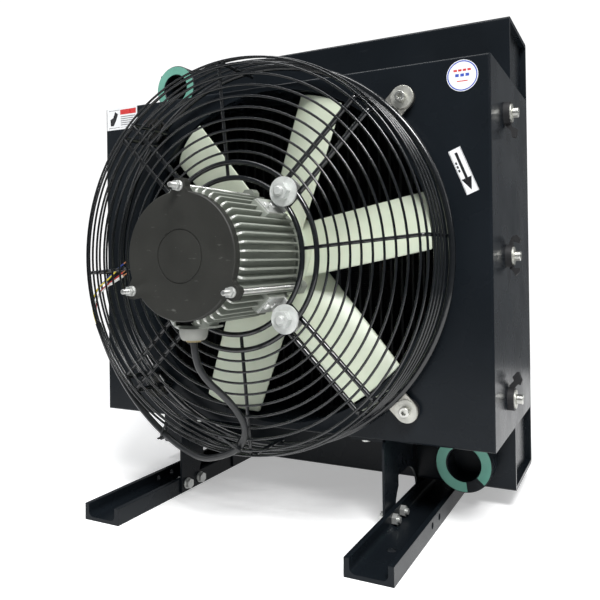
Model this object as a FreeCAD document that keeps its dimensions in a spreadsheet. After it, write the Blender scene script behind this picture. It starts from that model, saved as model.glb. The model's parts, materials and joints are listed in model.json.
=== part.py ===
"""Hydraulic oil cooler: bar-and-plate core, shroud, guard-mounted motor with an axial fan, legs and rails.

Frame: origin on the floor, at the centre of the rails' four anchor holes; +X right and +Y to the rear as
seen from the fan side, +Z up. Most pieces are modelled in the fan frame, whose origin is the point where
the fan's axis crosses the shroud's front face, and are placed with FAN_FRAME.
"""
import FreeCAD, Part
import math
import os
import re
from types import SimpleNamespace

import Sketcher
from FreeCAD import Placement, Rotation, Vector

DIMENSIONS = {
    # stance
    "axis_height": 353,
    "front_plane": -117,
    # shroud
    "shroud_width": 600,
    "shroud_height": 475,
    "shroud_depth": 138,
    "sheet_thickness": 2,
    "opening_radius": 230,
    "lip_depth": 16,
    "sheet_bend": 3,
    "sheet_screw_hole": 3.2,
    "cap_screw_hole": 4.5,
    "corner_screw_inset": 30,
    # core
    "core_depth": 146,
    "side_plate": 10,
    "tab_thickness": 4,
    "tab_depth": 76,
    "tab_inset": 8,
    "header_thickness": 5,
    "tube_count": 34,
    "tube_thickness": 3.6,
    "tube_wall": 0.6,
    "tube_setback": 1,
    "slot_margin": 9,
    "fin_thickness": 0.5,
    "fin_pitch": 19,
    # tanks and ports
    "tank_height": 88,
    "tank_wall": 6,
    "cap_recess": 8,
    "tank_fold": 5,
    "port_offset_x": 238,
    "port_offset_z": 285,
    "port_radius": 38.5,
    "port_bore": 22.4,
    "port_length": 39,
    "port_chamfer": 1.2,
    "port_countersink": 1.5,
    "mask_edge": 1.4,
    "mask_gap": 1.7,
    "mask_thickness": 0.5,
    # side fastening of the shroud
    "side_bolt_depth": 94,
    "side_bolt_middle": -4,
    "side_bolt_pitch": 186,
    "spacer_radius": 15,
    "spacer_height": 7.6,
    "small_washer_radius": 12,
    "washer_thickness": 2,
    "cap_screw_radius": 4,
    "cap_head_radius": 6.5,
    "cap_head_height": 8,
    "small_nut_flats": 13,
    "small_nut_height": 6.5,
    # guard
    "rod_plane": -93,
    "rod_radius": 3.25,
    "rod_spread": 12,
    "wire_radius": 2.25,
    "ring_wire": 1.5,
    "hub_ring_wire": 3.25,
    "hub_ring_inner": 98.3,
    "hub_ring_outer": 117.7,
    "first_ring": 131.5,
    "ring_pitch": 13.8,
    "ring_count": 9,
    "side_radius": 249,
    "bend_radius": 8,
    "side_ring_front": -80,
    "side_ring_pitch": 14,
    "side_ring_count": 4,
    "base_ring_wire": 4.5,
    "base_ring_plane": -15.5,
    "tie_wire_plane": -50,
    "radial_wire_turn": 4.8,
    # guard ears
    "ear_radius": 275,
    "ear_width": 30,
    "ear_root": 250,
    "ear_thickness": 3,
    "ear_spacer_height": 8,
    "ear_washer_radius": 14.3,
    # motor
    "cap_face": -207,
    "cap_thickness": 10,
    "cap_radius": 73,
    "cap_edge": 1.2,
    "cap_groove": 30,
    "groove_width": 1.6,
    "groove_depth": 0.8,
    "spigot_wall": 6,
    "spigot_length": 5,
    "bearing_shoulder": 13.5,
    "bearing_relief": 1.5,
    "shield_relief": 24,
    "housing_rear": -60,
    "housing_radius": 69,
    "housing_bore": 62,
    "fin_tip": 79,
    "motor_fins": 48,
    "motor_fin_width": 2.2,
    "motor_fin_start": 3.75,
    "joint_overlap": 1,
    "fin_front_gap": 2,
    "fin_rear_gap": 3,
    "fin_nose": 5,
    "fin_nose_radius": 75,
    "stud_circle": 78.5,
    "stud_radius": 3,
    "ear_lobe": 8.5,
    "ear_tip_half": 5.5,
    "ear_flare": 14,
    "stud_hole": 3.3,
    "shield_thickness": 14,
    "pad_radius": 82,
    "pad_width": 26,
    "pad_front": -126,
    "pad_rear": -86,
    "bracket_screw_radius": 2.5,
    "bracket_screw_front": -118,
    "bracket_screw_rear": -103,
    "foot_front": -191,
    "foot_rear": -162,
    "foot_half_width": 27,
    "foot_corner": 13,
    "foot_thickness": 2.5,
    "boss_front": -190,
    "boss_rear": -164,
    "boss_half_width": 22,
    "window_left": -19.5,
    "window_right": 6,
    "window_depth": 9,
    "window_top": -71,
    "gland_y": -182,
    "gland_top": -81.5,
    "gland_length": 16,
    "gland_radius": 16.7,
    "gland_neck": 8.4,
    "gland_rim": 2,
    # motor inside
    "stack_front": -160,
    "stack_rear": -95,
    "stator_bore": 34.2,
    "stator_slots": 24,
    "rotor_radius": 33.7,
    "shaft_body": 11,
    "journal_radius": 7.5,
    "drive_radius": 7,
    "bearing_width": 11,
    "bearing_outer": 17.5,
    "inner_ring_outer": 9.9,
    "outer_ring_inner": 15.75,
    "ball_radius": 2.9,
    "ball_circle": 12.5,
    "ball_count": 8,
    "front_bearing_y": -196,
    "rear_bearing_y": -66,
    # motor mounting
    "clamp_radius": 108,
    "clamp_washer_radius": 18,
    "clamp_washer_thickness": 3,
    "clamp_bolt_radius": 6,
    "clamp_nut_flats": 19,
    "clamp_nut_height": 10,
    "bracket_thickness": 2.5,
    "bracket_width": 25,
    "bracket_tip": 124,
    # fan
    "hub_radius": 63,
    "hub_front": -14,
    "hub_rear": 36,
    "hub_wall": 6,
    "hub_web": 8,
    "hub_boss": 20,
    "blade_count": 6,
    "blade_tip": 227,
    "blade_middle": 13,
    "first_blade_angle": 11,
    "root_chord": 89,
    "tip_chord": 80,
    "root_stagger": 30,
    "tip_stagger": 18,
    "blade_camber": 5,
    "root_thickness": 4,
    "tip_thickness": 3,
    "blade_edge": 0.6,
    "fan_bolt_radius": 4,
    "key_width": 5,
    # legs and rails
    "rail_centre": 190,
    "rail_width": 58,
    "rail_height": 22,
    "rail_flange": 6.5,
    "rail_web": 5,
    "rail_fillet": 7,
    "rail_front": -133,
    "rail_length": 500,
    "anchor_spacing": 350,
    "anchor_radius": 5.5,
    "leg_thickness": 3,
    "leg_strip": 55,
    "leg_lift": 2,
    "leg_flange": 46,
    "leg_corner": 12,
    "arch_top": 297,
    "arch_rear": 140,
    "arch_corner": 50,
    "leg_bolt_front": 13,
    "leg_bolt_pitch": 32,
    "leg_bolt_height": 13,
    "leg_bolt_radius": 4,
    # labels
    "label_thickness": 0.3,
    # cable
    "cable_radius": 4.1,
    "lead_radius": 1.1,
    "core_radius": 0.8,
    "sleeve_radius": 1.9,
    "tie_thickness": 1,
    "tie_width": 2.6,
    "tie_slack": 0.1,
}

doc = FreeCAD.newDocument("OilCooler")
sheet = doc.addObject("Spreadsheet::Sheet", "Dims")
for row, (alias, size) in enumerate(DIMENSIONS.items(), start=1):
    sheet.set(f"A{row}", alias)
    sheet.set(f"B{row}", str(size))
    sheet.setAlias(f"B{row}", alias)
doc.recompute()
d = SimpleNamespace(**{alias: float(sheet.get(alias)) for alias in DIMENSIONS})

X_AXIS, Y_AXIS, Z_AXIS = Vector(1, 0, 0), Vector(0, 1, 0), Vector(0, 0, 1)
ALONG_X = Rotation(Z_AXIS, X_AXIS)
ALONG_Y = Rotation(Z_AXIS, Y_AXIS)
ALONG_Z = Rotation()
FAN_FRAME = ("0", "front_plane", "axis_height")
FLOOR_FRAME = ("0", "front_plane", "0")
DIAGONALS = (45, 135, 225, 315)
EAR_ANGLES = (90, 210, 330)
CORE_FRONT = d.shroud_depth
CORE_REAR = d.shroud_depth + d.core_depth

sub_parts = []


# ---------------------------------------------------------------- helpers: sheet links and placing

def linked(expression):
    """The expression with every sheet alias written as Dims.alias."""
    return re.sub(r"[a-z]+(?:_[a-z]+)+", lambda match: "Dims." + match[0], str(expression))


def number(expression):
    """The value of an expression of sheet aliases."""
    return float(sheet.evalExpression(linked(expression)))


def bind(item, **expressions):
    for name, expression in expressions.items():
        item.setExpression(name, linked(expression))


def put(item, corner, rotation=ALONG_Z):
    """Places an object with its base bound to three expressions."""
    item.Placement = Placement(Vector(*(number(part) for part in corner)), rotation)
    for axis, expression in zip("xyz", corner):
        item.setExpression(f"Placement.Base.{axis}", linked(expression))
    return item


def finish(item, label, frame=FAN_FRAME):
    """Labels a finished sub-part, puts it in its frame and adds it to the list."""
    put(item, frame)
    item.Label = label
    sub_parts.append(item)
    return item


def finish_shape(label, solids, frame=FAN_FRAME):
    """A Part::Feature sub-part made of one or more solids worked out from the sheet."""
    feature = doc.addObject("Part::Feature", label)
    feature.Shape = Part.makeCompound(solids)
    return finish(feature, label, frame)


# ---------------------------------------------------------------- helpers: Part objects

def box(name, size, corner):
    solid = doc.addObject("Part::Box", name)
    bind(solid, Length=size[0], Width=size[1], Height=size[2])
    return put(solid, corner)


def cylinder(name, radius, height, base, rotation=ALONG_Y):
    solid = doc.addObject("Part::Cylinder", name)
    bind(solid, Radius=radius, Height=height)
    return put(solid, base, rotation)


def fuse(name, parts):
    joined = doc.addObject("Part::MultiFuse", name)
    joined.Shapes = parts
    joined.Refine = True
    return joined


def cut(name, base, tools):
    result = doc.addObject("Part::Cut", name)
    result.Base = base
    result.Tool = tools[0] if len(tools) == 1 else fuse(name + "_tools", tools)
    result.Refine = True
    return result


def rounded_box(name, base, radius, wanted):
    """A box with fillets on the edges whose middle passes the test."""
    chosen = [index + 1 for index, edge in enumerate(base.Shape.Edges) if wanted(edge.CenterOfMass)]
    result = doc.addObject("Part::Fillet", name)
    result.Base = base
    result.Edges = [(index, number(radius), number(radius)) for index in chosen]
    return result


def compound(name, parts):
    group = doc.addObject("Part::Compound", name)
    group.Links = parts
    return group


def torus(name, radius, wire, plane):
    """A ring of round wire about the fan's axis."""
    ring = doc.addObject("Part::Torus", name)
    bind(ring, Radius1=radius, Radius2=wire)
    return put(ring, ("0", plane, "0"), ALONG_Y)


# ---------------------------------------------------------------- helpers: PartDesign

def new_body(name):
    return doc.addObject("PartDesign::Body", name)


def sketch_on(body, plane, name):
    sketch = body.newObject("Sketcher::SketchObject", name)
    face = next(feature for feature in body.Origin.OriginFeatures if feature.Role == plane)
    sketch.AttachmentSupport = [(face, "")]
    sketch.MapMode = "FlatFace"
    return sketch


def locate(sketch, geometry, point, corner):
    """Ties a point of the sketch to the sketch's origin by two sheet distances."""
    for kind, expression in zip(("DistanceX", "DistanceY"), corner):
        rule = Sketcher.Constraint(kind, -1, 1, geometry, point, number(expression))
        index = sketch.addConstraint(rule)
        sketch.setExpression(f"Constraints[{index}]", linked(expression))


def polygon(sketch, corners):
    places = [Vector(number(x), number(y), 0) for x, y in corners]
    first = sketch.GeometryCount
    for start, end in zip(places, places[1:] + places[:1]):
        sketch.addGeometry(Part.LineSegment(start, end), False)
    for index, corner in enumerate(corners):
        after = first + (index + 1) % len(corners)
        sketch.addConstraint(Sketcher.Constraint("Coincident", first + index, 2, after, 1))
        locate(sketch, first + index, 1, corner)


def rectangle(sketch, low, high):
    polygon(sketch, (low, (high[0], low[1]), high, (low[0], high[1])))


def circle(sketch, centre, radius):
    middle = Vector(number(centre[0]), number(centre[1]), 0)
    geometry = sketch.addGeometry(Part.Circle(middle, Z_AXIS, number(radius)), False)
    index = sketch.addConstraint(Sketcher.Constraint("Radius", geometry, number(radius)))
    sketch.setExpression(f"Constraints[{index}]", linked(radius))
    locate(sketch, geometry, 3, centre)


def pad(body, sketch, length, reverse=False, symmetric=False):
    feature = body.newObject("PartDesign::Pad", sketch.Name + "_pad")
    feature.Profile = sketch
    bind(feature, Length=length)
    feature.Reversed = reverse
    feature.Midplane = symmetric
    return feature


def pocket(body, sketch, length, reverse=False, symmetric=False):
    feature = body.newObject("PartDesign::Pocket", sketch.Name + "_pocket")
    feature.Profile = sketch
    bind(feature, Length=length)
    feature.Reversed = reverse
    feature.Midplane = symmetric
    return feature


def origin_axis(body, role):
    return next(feature for feature in body.Origin.OriginFeatures if feature.Role == role)


def revolve(body, sketch, role="Y_Axis"):
    feature = body.newObject("PartDesign::Revolution", sketch.Name + "_turned")
    feature.Profile = sketch
    feature.ReferenceAxis = (origin_axis(body, role), [""])
    feature.Angle = 360
    return feature


def turned(label, corners, frame=FAN_FRAME):
    """A PartDesign body turned about the fan's axis; corners are (radius, depth) pairs."""
    body = new_body(label)
    sketch = sketch_on(body, "XY_Plane", label + "_profile")
    polygon(sketch, corners)
    revolve(body, sketch)
    return finish(body, label, frame)


def polar_pattern(body, features, count, angle="360", role="Y_Axis"):
    pattern = body.newObject("PartDesign::PolarPattern", features[0].Name + "_round")
    pattern.Originals = features
    pattern.Axis = (origin_axis(body, role), [""])
    bind(pattern, Occurrences=count, Angle=angle)
    body.Tip = pattern
    return pattern


def round_edges(body, base, radius, wanted):
    """Fillets the edges of a PartDesign feature whose middle passes the test."""
    doc.recompute()
    names = [f"Edge{index + 1}" for index, edge in enumerate(base.Shape.Edges)
             if wanted(edge.CenterOfMass)]
    fillet = body.newObject("PartDesign::Fillet", base.Name + "_rounded")
    fillet.Base = (base, names)
    bind(fillet, Radius=radius)
    body.Tip = fillet
    return fillet


def near(value, target):
    return abs(value - target) < 0.01


# ---------------------------------------------------------------- helpers: shapes worked out from the sheet

def around(angle, radius, depth=0.0, sideways=0.0):
    """A point of the fan frame: at an angle from +X towards +Z, with an offset along the tangent."""
    turn = math.radians(angle)
    x = radius * math.cos(turn) - sideways * math.sin(turn)
    z = radius * math.sin(turn) + sideways * math.cos(turn)
    return Vector(x, depth, z)


def spun(shape, angle):
    """A copy turned about the fan's axis, from +X towards +Z."""
    copy = shape.copy()
    copy.rotate(Vector(), Y_AXIS, -angle)
    return copy


def ring_solid(outer, inner, base, height, axis=Y_AXIS):
    solid = Part.makeCylinder(outer, height, base, axis)
    return solid.cut(Part.makeCylinder(inner, height, base, axis)) if inner else solid


def hexagon(flats, height, base, axis=Y_AXIS, hole=0.0):
    """A hexagon prism with chamfered corners and an optional hole."""
    corner = flats / math.sqrt(3)
    points = [Vector(corner * math.cos(math.radians(60 * k)), corner * math.sin(math.radians(60 * k)), 0)
              for k in range(7)]
    prism = Part.Face(Part.makePolygon(points)).extrude(Vector(0, 0, height))
    slope = 0.18 * flats
    cone = Part.makeCone(corner + height, flats / 2 - slope / 2, height + corner - flats / 2 + slope / 2)
    prism = prism.common(cone)
    if hole:
        prism = prism.cut(Part.makeCylinder(hole, height))
    prism.Placement = Placement(base, Rotation(Z_AXIS, axis))
    return prism


def cap_screw(head_base, axis, length):
    """A socket-head cap screw; head_base is the underside of the head, axis points out of the head."""
    head = Part.makeCylinder(d.cap_head_radius, d.cap_head_height, head_base, axis)
    head = head.makeChamfer(0.6, [edge for edge in head.Edges if edge.Closed])
    shank = Part.makeCylinder(d.cap_screw_radius, length, head_base, -axis)
    socket_flats = 6.0
    socket_depth = 4.5
    socket_base = head_base + axis * (d.cap_head_height - socket_depth)
    corner = socket_flats / math.sqrt(3)
    points = [Vector(corner * math.cos(math.radians(60 * k)), corner * math.sin(math.radians(60 * k)), 0)
              for k in range(7)]
    socket = Part.Face(Part.makePolygon(points)).extrude(Vector(0, 0, socket_depth))
    socket.Placement = Placement(socket_base, Rotation(Z_AXIS, axis))
    return head.fuse(shank).cut(socket).removeSplitter()


def pan_screw(head_base, axis, length, radius=3.0, head_radius=6.0, head_height=3.6):
    """A pan-head screw with a plain cross slot left out."""
    head = Part.makeCylinder(head_radius, head_height, head_base, axis)
    top = max(head.Edges, key=lambda edge: (edge.CenterOfMass - head_base).dot(axis))
    head = head.makeFillet(1.4, [top])
    return head.fuse(Part.makeCylinder(radius, length, head_base, -axis)).removeSplitter()


def fillet_path(points, radius_of):
    """Straight runs joined by tangent arcs; returns the wire and the arcs' radii."""
    edges = []
    radii = []
    start = points[0]
    for before, corner, after in zip(points, points[1:], points[2:]):
        incoming = (corner - before).normalize()
        outgoing = (after - corner).normalize()
        half_turn = incoming.getAngle(outgoing) / 2
        radius = radius_of(before.distanceToPoint(corner), corner.distanceToPoint(after), half_turn)
        reach = radius * math.tan(half_turn)
        arc_start = corner - incoming * reach
        arc_end = corner + outgoing * reach
        inward = (outgoing - incoming).normalize()
        centre = corner + inward * (radius / math.cos(half_turn))
        arc_middle = centre - inward * radius
        edges.append(Part.LineSegment(start, arc_start).toShape())
        edges.append(Part.Arc(arc_start, arc_middle, arc_end).toShape())
        radii.append(radius)
        start = arc_end
    edges.append(Part.LineSegment(start, points[-1]).toShape())
    return Part.Wire(edges), radii


def tube_along(wire, radius):
    """A solid round bar along a wire."""
    start = wire.OrderedVertexes[0].Point
    ahead = wire.OrderedEdges[0].tangentAt(wire.OrderedEdges[0].FirstParameter)
    section = Part.Wire(Part.makeCircle(radius, start, ahead))
    return wire.makePipeShell([section], True, True)


def bent_bar(points, radius, bend):
    wire, _ = fillet_path(points, lambda before, after, half_turn: bend)
    return tube_along(wire, radius)


def cord_tube(label, route, radius):
    """A free cord: each arc as large as its two runs allow."""
    wire, radii = fillet_path(route, lambda before, after, half: 0.45 * min(before, after) / math.tan(half))
    solid = tube_along(wire, radius)
    expected = math.pi * radius ** 2 * wire.Length
    print(f"{label}: length {wire.Length:.1f}, volume ratio {solid.Volume / expected:.4f}, radii in diameters",
          [round(bend / (2 * radius), 1) for bend in radii])
    return finish_shape(label, [solid])


# ---------------------------------------------------------------- core: side plates, tubes, fins, headers

def core_side_plate(label, side):
    """A side bar of the core, with the forward tab that the shroud is bolted to inside."""
    inner = "-shroud_width / 2" if side < 0 else "shroud_width / 2 - side_plate"
    plate = box(label + "_bar", ("side_plate", "core_depth", "shroud_height"),
                (inner, "shroud_depth", "-shroud_height / 2"))
    tab_x = "-shroud_width / 2 + sheet_thickness" if side < 0 else \
        "shroud_width / 2 - sheet_thickness - tab_thickness"
    tab = box(label + "_tab", ("tab_thickness", "tab_depth + tab_inset", "shroud_height - 2 * tab_inset"),
              (tab_x, "shroud_depth - tab_depth", "-shroud_height / 2 + tab_inset"))
    holes = [cylinder(f"{label}_hole_{step + 2}", "cap_screw_hole", "2 * tab_thickness",
                      (tab_x + " - tab_thickness / 2", "side_bolt_depth",
                       f"side_bolt_middle + {step} * side_bolt_pitch"), ALONG_X) for step in (-1, 0, 1)]
    finish(cut(label, fuse(label + "_blank", [plate, tab]), holes), label)


core_side_plate("left_side_plate", -1)
core_side_plate("right_side_plate", 1)

CORE_INNER = d.shroud_width / 2 - d.side_plate
AIR_GAP = (2 * CORE_INNER - d.tube_count * d.tube_thickness) / (d.tube_count + 1)
TUBE_PITCH = AIR_GAP + d.tube_thickness
TUBE_TOP = d.shroud_height / 2 - d.header_thickness


def oil_tube(index):
    """One flat oil passage, open at both ends into the tanks."""
    left = -CORE_INNER + AIR_GAP + index * TUBE_PITCH
    front = CORE_FRONT + d.tube_setback
    depth = d.core_depth - 2 * d.tube_setback
    outer = Part.makeBox(d.tube_thickness, depth, 2 * TUBE_TOP, Vector(left, front, -TUBE_TOP))
    nose = d.slot_margin - d.tube_setback
    inner = Part.makeBox(d.tube_thickness - 2 * d.tube_wall, depth - 2 * nose, 2 * TUBE_TOP,
                         Vector(left + d.tube_wall, front + nose, -TUBE_TOP))
    return outer.cut(inner)


def fin_strip(index):
    """One corrugated strip of the air side, folded against the passages on both sides of it."""
    left = -CORE_INNER + index * TUBE_PITCH
    folds = int(2 * TUBE_TOP / (d.fin_pitch / 2))
    rise = 2 * (TUBE_TOP - 1) / folds
    across = d.fin_thickness * math.hypot(AIR_GAP, rise) / rise
    heights = [-TUBE_TOP + 1 + step * rise for step in range(folds + 1)]
    near = [Vector(left if step % 2 == 0 else left + AIR_GAP - across, CORE_FRONT + 3, height)
            for step, height in enumerate(heights)]
    far = [point + Vector(across, 0, 0) for point in reversed(near)]
    outline = Part.makePolygon(near + far + near[:1])
    return Part.Face(outline).extrude(Vector(0, d.core_depth - 6, 0))


def header_plate(side):
    """The plate that the oil tubes end in, with a slot over each tube."""
    low = TUBE_TOP if side > 0 else -TUBE_TOP - d.header_thickness
    plate = Part.makeBox(2 * CORE_INNER, d.core_depth, d.header_thickness, Vector(-CORE_INNER, CORE_FRONT, low))
    width = d.tube_thickness - 2 * d.tube_wall
    slots = [Part.makeBox(width, d.core_depth - 2 * d.slot_margin, d.header_thickness,
                          Vector(-CORE_INNER + AIR_GAP + d.tube_wall + index * TUBE_PITCH,
                                 CORE_FRONT + d.slot_margin, low)) for index in range(int(d.tube_count))]
    return plate.cut(Part.makeCompound(slots))


finish_shape("oil_tubes", [oil_tube(index) for index in range(int(d.tube_count))])
finish_shape("air_fins", [fin_strip(index) for index in range(int(d.tube_count) + 1)])
finish_shape("header_plates", [header_plate(-1), header_plate(1)])


# ---------------------------------------------------------------- tanks, end caps, ports

def tank(label, side):
    """A folded U-section tank, open towards the core, with the oil port's hole in its front wall."""
    body = new_body(label)
    profile = sketch_on(body, "YZ_Plane", label + "_section")
    root = f"{side} * shroud_height / 2"
    crown = f"{side} * (shroud_height / 2 + tank_height)"
    under = f"{side} * (shroud_height / 2 + tank_height - tank_wall)"
    front, rear = "shroud_depth", "shroud_depth + core_depth"
    polygon(profile, ((front, root), (front, crown), (rear, crown), (rear, root),
                      (rear + " - tank_wall", root), (rear + " - tank_wall", under),
                      (front + " + tank_wall", under), (front + " + tank_wall", root)))
    folded = pad(body, profile, "shroud_width", symmetric=True)
    crown_height = side * (d.shroud_height / 2 + d.tank_height)
    round_edges(body, folded, "tank_fold", lambda point: near(point.x, 0) and near(point.z, crown_height))
    port = sketch_on(body, "XZ_Plane", label + "_port")
    circle(port, (f"{-side} * port_offset_x", f"{side} * port_offset_z"), "port_bore + mask_gap")
    pocket(body, port, "shroud_depth + 2 * tank_wall", reverse=True)
    finish(body, label)


tank("top_tank", 1)
tank("bottom_tank", -1)

end_caps = []
for side_x in (-1, 1):
    for side_z in (-1, 1):
        name = f"tank_end_cap_{side_x + 1}{side_z + 1}"
        corner_x = "shroud_width / 2 - cap_recess - tank_wall" if side_x > 0 else "-shroud_width / 2 + cap_recess"
        corner_z = "shroud_height / 2" if side_z > 0 else "-shroud_height / 2 - tank_height + tank_wall"
        end_caps.append(box(name, ("tank_wall", "core_depth - 2 * tank_wall", "tank_height - tank_wall"),
                            (corner_x, "shroud_depth + tank_wall", corner_z)))
finish(compound("tank_end_caps", end_caps), "tank_end_caps")


def port_boss(label, side):
    """A round weld-on boss with a straight threaded bore; its face is masked."""
    centre = Vector(-side * d.port_offset_x, CORE_FRONT - d.port_length, side * d.port_offset_z)
    blank = Part.makeCylinder(d.port_radius, d.port_length, centre, Y_AXIS)
    blank = blank.makeChamfer(d.port_chamfer, [edge for edge in blank.Edges if edge.Closed and
                                    abs(edge.CenterOfMass.y - centre.y) < 0.01])
    bore = Part.makeCylinder(d.port_bore, d.port_length, centre, Y_AXIS)
    countersink = Part.makeCone(d.port_bore + d.port_countersink, d.port_bore, d.port_countersink,
                                centre, Y_AXIS)
    finish_shape(label, [blank.cut(bore.fuse(countersink)).removeSplitter()])


def mask_ring(side, torn_from, torn_to):
    """The masking left on a port's face; a sector of it may be torn off."""
    centre = Vector(-side * d.port_offset_x, CORE_FRONT - d.port_length - d.mask_thickness,
                    side * d.port_offset_z)
    ring = ring_solid(d.port_radius - d.mask_edge, d.port_bore + d.mask_gap, centre, d.mask_thickness)
    if torn_from is None:
        return ring
    reach = 2 * d.port_radius
    middle = (torn_from + torn_to) / 2
    fan = [centre] + [centre + around(angle, reach) for angle in (torn_from, middle, torn_to)] + [centre]
    return ring.cut(Part.Face(Part.makePolygon(fan)).extrude(Vector(0, d.mask_thickness, 0)))


port_boss("oil_inlet_boss", 1)
port_boss("oil_outlet_boss", -1)
TORN_SECTOR = (278, 318)
finish_shape("port_mask_rings", [mask_ring(1, None, None), mask_ring(-1, *TORN_SECTOR)])


# ---------------------------------------------------------------- shroud and what holds it

def shroud():
    """Sheet box, open at the rear, with the fan opening and its inward lip."""
    outer = box("shroud_outer", ("shroud_width", "shroud_depth", "shroud_height"),
                ("-shroud_width / 2", "0", "-shroud_height / 2"))
    inner = box("shroud_inner", ("shroud_width - 2 * sheet_thickness", "shroud_depth",
                                 "shroud_height - 2 * sheet_thickness"),
                ("-shroud_width / 2 + sheet_thickness", "sheet_thickness",
                 "-shroud_height / 2 + sheet_thickness"))
    doc.recompute()
    bends = [rounded_box("shroud_outer_bends", outer, "sheet_bend", lambda point: near(point.y, 0)),
             rounded_box("shroud_inner_bends", inner, "sheet_bend - sheet_thickness",
                         lambda point: near(point.y, d.sheet_thickness))]
    shell = cut("shroud_shell", bends[0], bends[1:])
    lip = cylinder("shroud_lip", "opening_radius + sheet_thickness", "lip_depth", ("0", "0", "0"))
    opening = cylinder("shroud_opening", "opening_radius", "2 * lip_depth", ("0", "-lip_depth / 2", "0"))
    holes = [cylinder(f"shroud_ear_hole_{angle}", "cap_screw_hole", "4 * sheet_thickness",
                      (f"ear_radius * cos({angle} deg)", "-sheet_thickness",
                       f"ear_radius * sin({angle} deg)")) for angle in DIAGONALS]
    for step in (-1, 0, 1):
        holes.append(cylinder(f"shroud_side_hole_{step + 2}", "cap_screw_hole", "shroud_width",
                              ("-shroud_width / 2", "side_bolt_depth",
                               f"side_bolt_middle + {step} * side_bolt_pitch"), ALONG_X))
    for index, (x, y) in enumerate(CORNER_SCREWS):
        holes.append(cylinder(f"shroud_corner_hole_{index}", "sheet_screw_hole", "shroud_height",
                              (x, y, "-shroud_height / 2"), ALONG_Z))
    for index, x in enumerate(LEG_SCREWS):
        holes.append(cylinder(f"shroud_leg_hole_{index}", "sheet_screw_hole", "4 * sheet_thickness",
                              (x, "leg_bolt_front", "-shroud_height / 2 - sheet_thickness"), ALONG_Z))
    blank = fuse("shroud_blank", [shell, lip])
    finish(cut("shroud", blank, [opening] + holes), "shroud")


CORNER_SCREWS = (("-shroud_width / 2 + side_plate", "shroud_depth - corner_screw_inset"),
                 ("shroud_width / 2 - side_plate", "shroud_depth - corner_screw_inset"))
LEG_SCREWS = ("-rail_centre + rail_width", "rail_centre - rail_width")
shroud()

small_screws = []
for x, y in CORNER_SCREWS:
    for side in (-1, 1):
        head = Vector(number(x), number(y), side * d.shroud_height / 2)
        small_screws.append(pan_screw(head, Z_AXIS * side, 9))
for x in LEG_SCREWS:
    head = Vector(number(x), d.leg_bolt_front, -d.shroud_height / 2 - d.leg_thickness)
    small_screws.append(pan_screw(head, -Z_AXIS, 12))

side_spacers, washers, cap_screws, nuts = [], [], [], []
for side in (-1, 1):
    outward = X_AXIS * side
    for step in (-1, 0, 1):
        seat = Vector(side * d.shroud_width / 2, d.side_bolt_depth, d.side_bolt_middle + step * d.side_bolt_pitch)
        side_spacers.append(ring_solid(d.spacer_radius, d.cap_screw_radius, seat, d.spacer_height, outward))
        washer_seat = seat + outward * d.spacer_height
        washers.append(ring_solid(d.small_washer_radius, d.cap_screw_radius, washer_seat,
                                  d.washer_thickness, outward))
        under_head = washer_seat + outward * d.washer_thickness
        cap_screws.append(cap_screw(under_head, outward, 30))
        nut_seat = seat - outward * (d.sheet_thickness + d.tab_thickness)
        nuts.append(hexagon(d.small_nut_flats, d.small_nut_height, nut_seat, -outward, d.cap_screw_radius))
finish_shape("side_rubber_mounts", side_spacers)


# ---------------------------------------------------------------- guard

WIRE_PLANE = d.rod_plane - d.rod_radius + d.wire_radius
SIDE_RING = d.side_radius + d.wire_radius + d.ring_wire
BASE_RING = d.side_radius + d.wire_radius + d.base_ring_wire

inner_rings = [torus("guard_ring_in", "hub_ring_inner", "hub_ring_wire", "rod_plane - rod_radius - hub_ring_wire"),
               torus("guard_ring_out", "hub_ring_outer", "hub_ring_wire", "rod_plane - rod_radius - hub_ring_wire")]
finish(compound("guard_inner_rings", inner_rings), "guard_inner_rings")

front_rings = [torus(f"guard_front_ring_{index + 1}", f"first_ring + {index} * ring_pitch", "ring_wire",
                     "rod_plane - rod_radius - ring_wire") for index in range(int(d.ring_count))]
finish(compound("guard_front_rings", front_rings), "guard_front_rings")

corner_reach = "(bend_radius + wire_radius + ring_wire) * sin(45 deg)"
side_rings = [torus("guard_bend_ring", f"side_radius - bend_radius + {corner_reach}", "ring_wire",
                    f"rod_plane - rod_radius + wire_radius + bend_radius - {corner_reach}")]
side_rings += [torus(f"guard_side_ring_{index + 1}", "side_radius + wire_radius + ring_wire", "ring_wire",
                     f"side_ring_front + {index} * side_ring_pitch") for index in range(int(d.side_ring_count))]
finish(compound("guard_side_rings", side_rings), "guard_side_rings")

base_ring = torus("guard_base_torus", "side_radius + wire_radius + base_ring_wire", "base_ring_wire",
                  "base_ring_plane")
finish(compound("guard_base_ring", [base_ring]), "guard_base_ring")


def radial_wire(angle):
    """A wire from the innermost ring out over the bend and back to the base ring."""
    points = [around(angle, d.hub_ring_inner, WIRE_PLANE), around(angle, d.side_radius, WIRE_PLANE),
              around(angle, d.side_radius, d.base_ring_plane + d.base_ring_wire)]
    return bent_bar(points, d.wire_radius, d.bend_radius)


def support_rod(angle, sideways):
    """One of a pair of heavier rods beside a motor bolt."""
    reach = BASE_RING - d.base_ring_wire - d.rod_radius
    reach = math.sqrt(reach ** 2 - sideways ** 2)
    points = [around(angle, d.hub_ring_inner, d.rod_plane, sideways), around(angle, reach, d.rod_plane, sideways),
              around(angle, reach, d.base_ring_plane + d.base_ring_wire, sideways)]
    return bent_bar(points, d.rod_radius, d.bend_radius)


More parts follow.
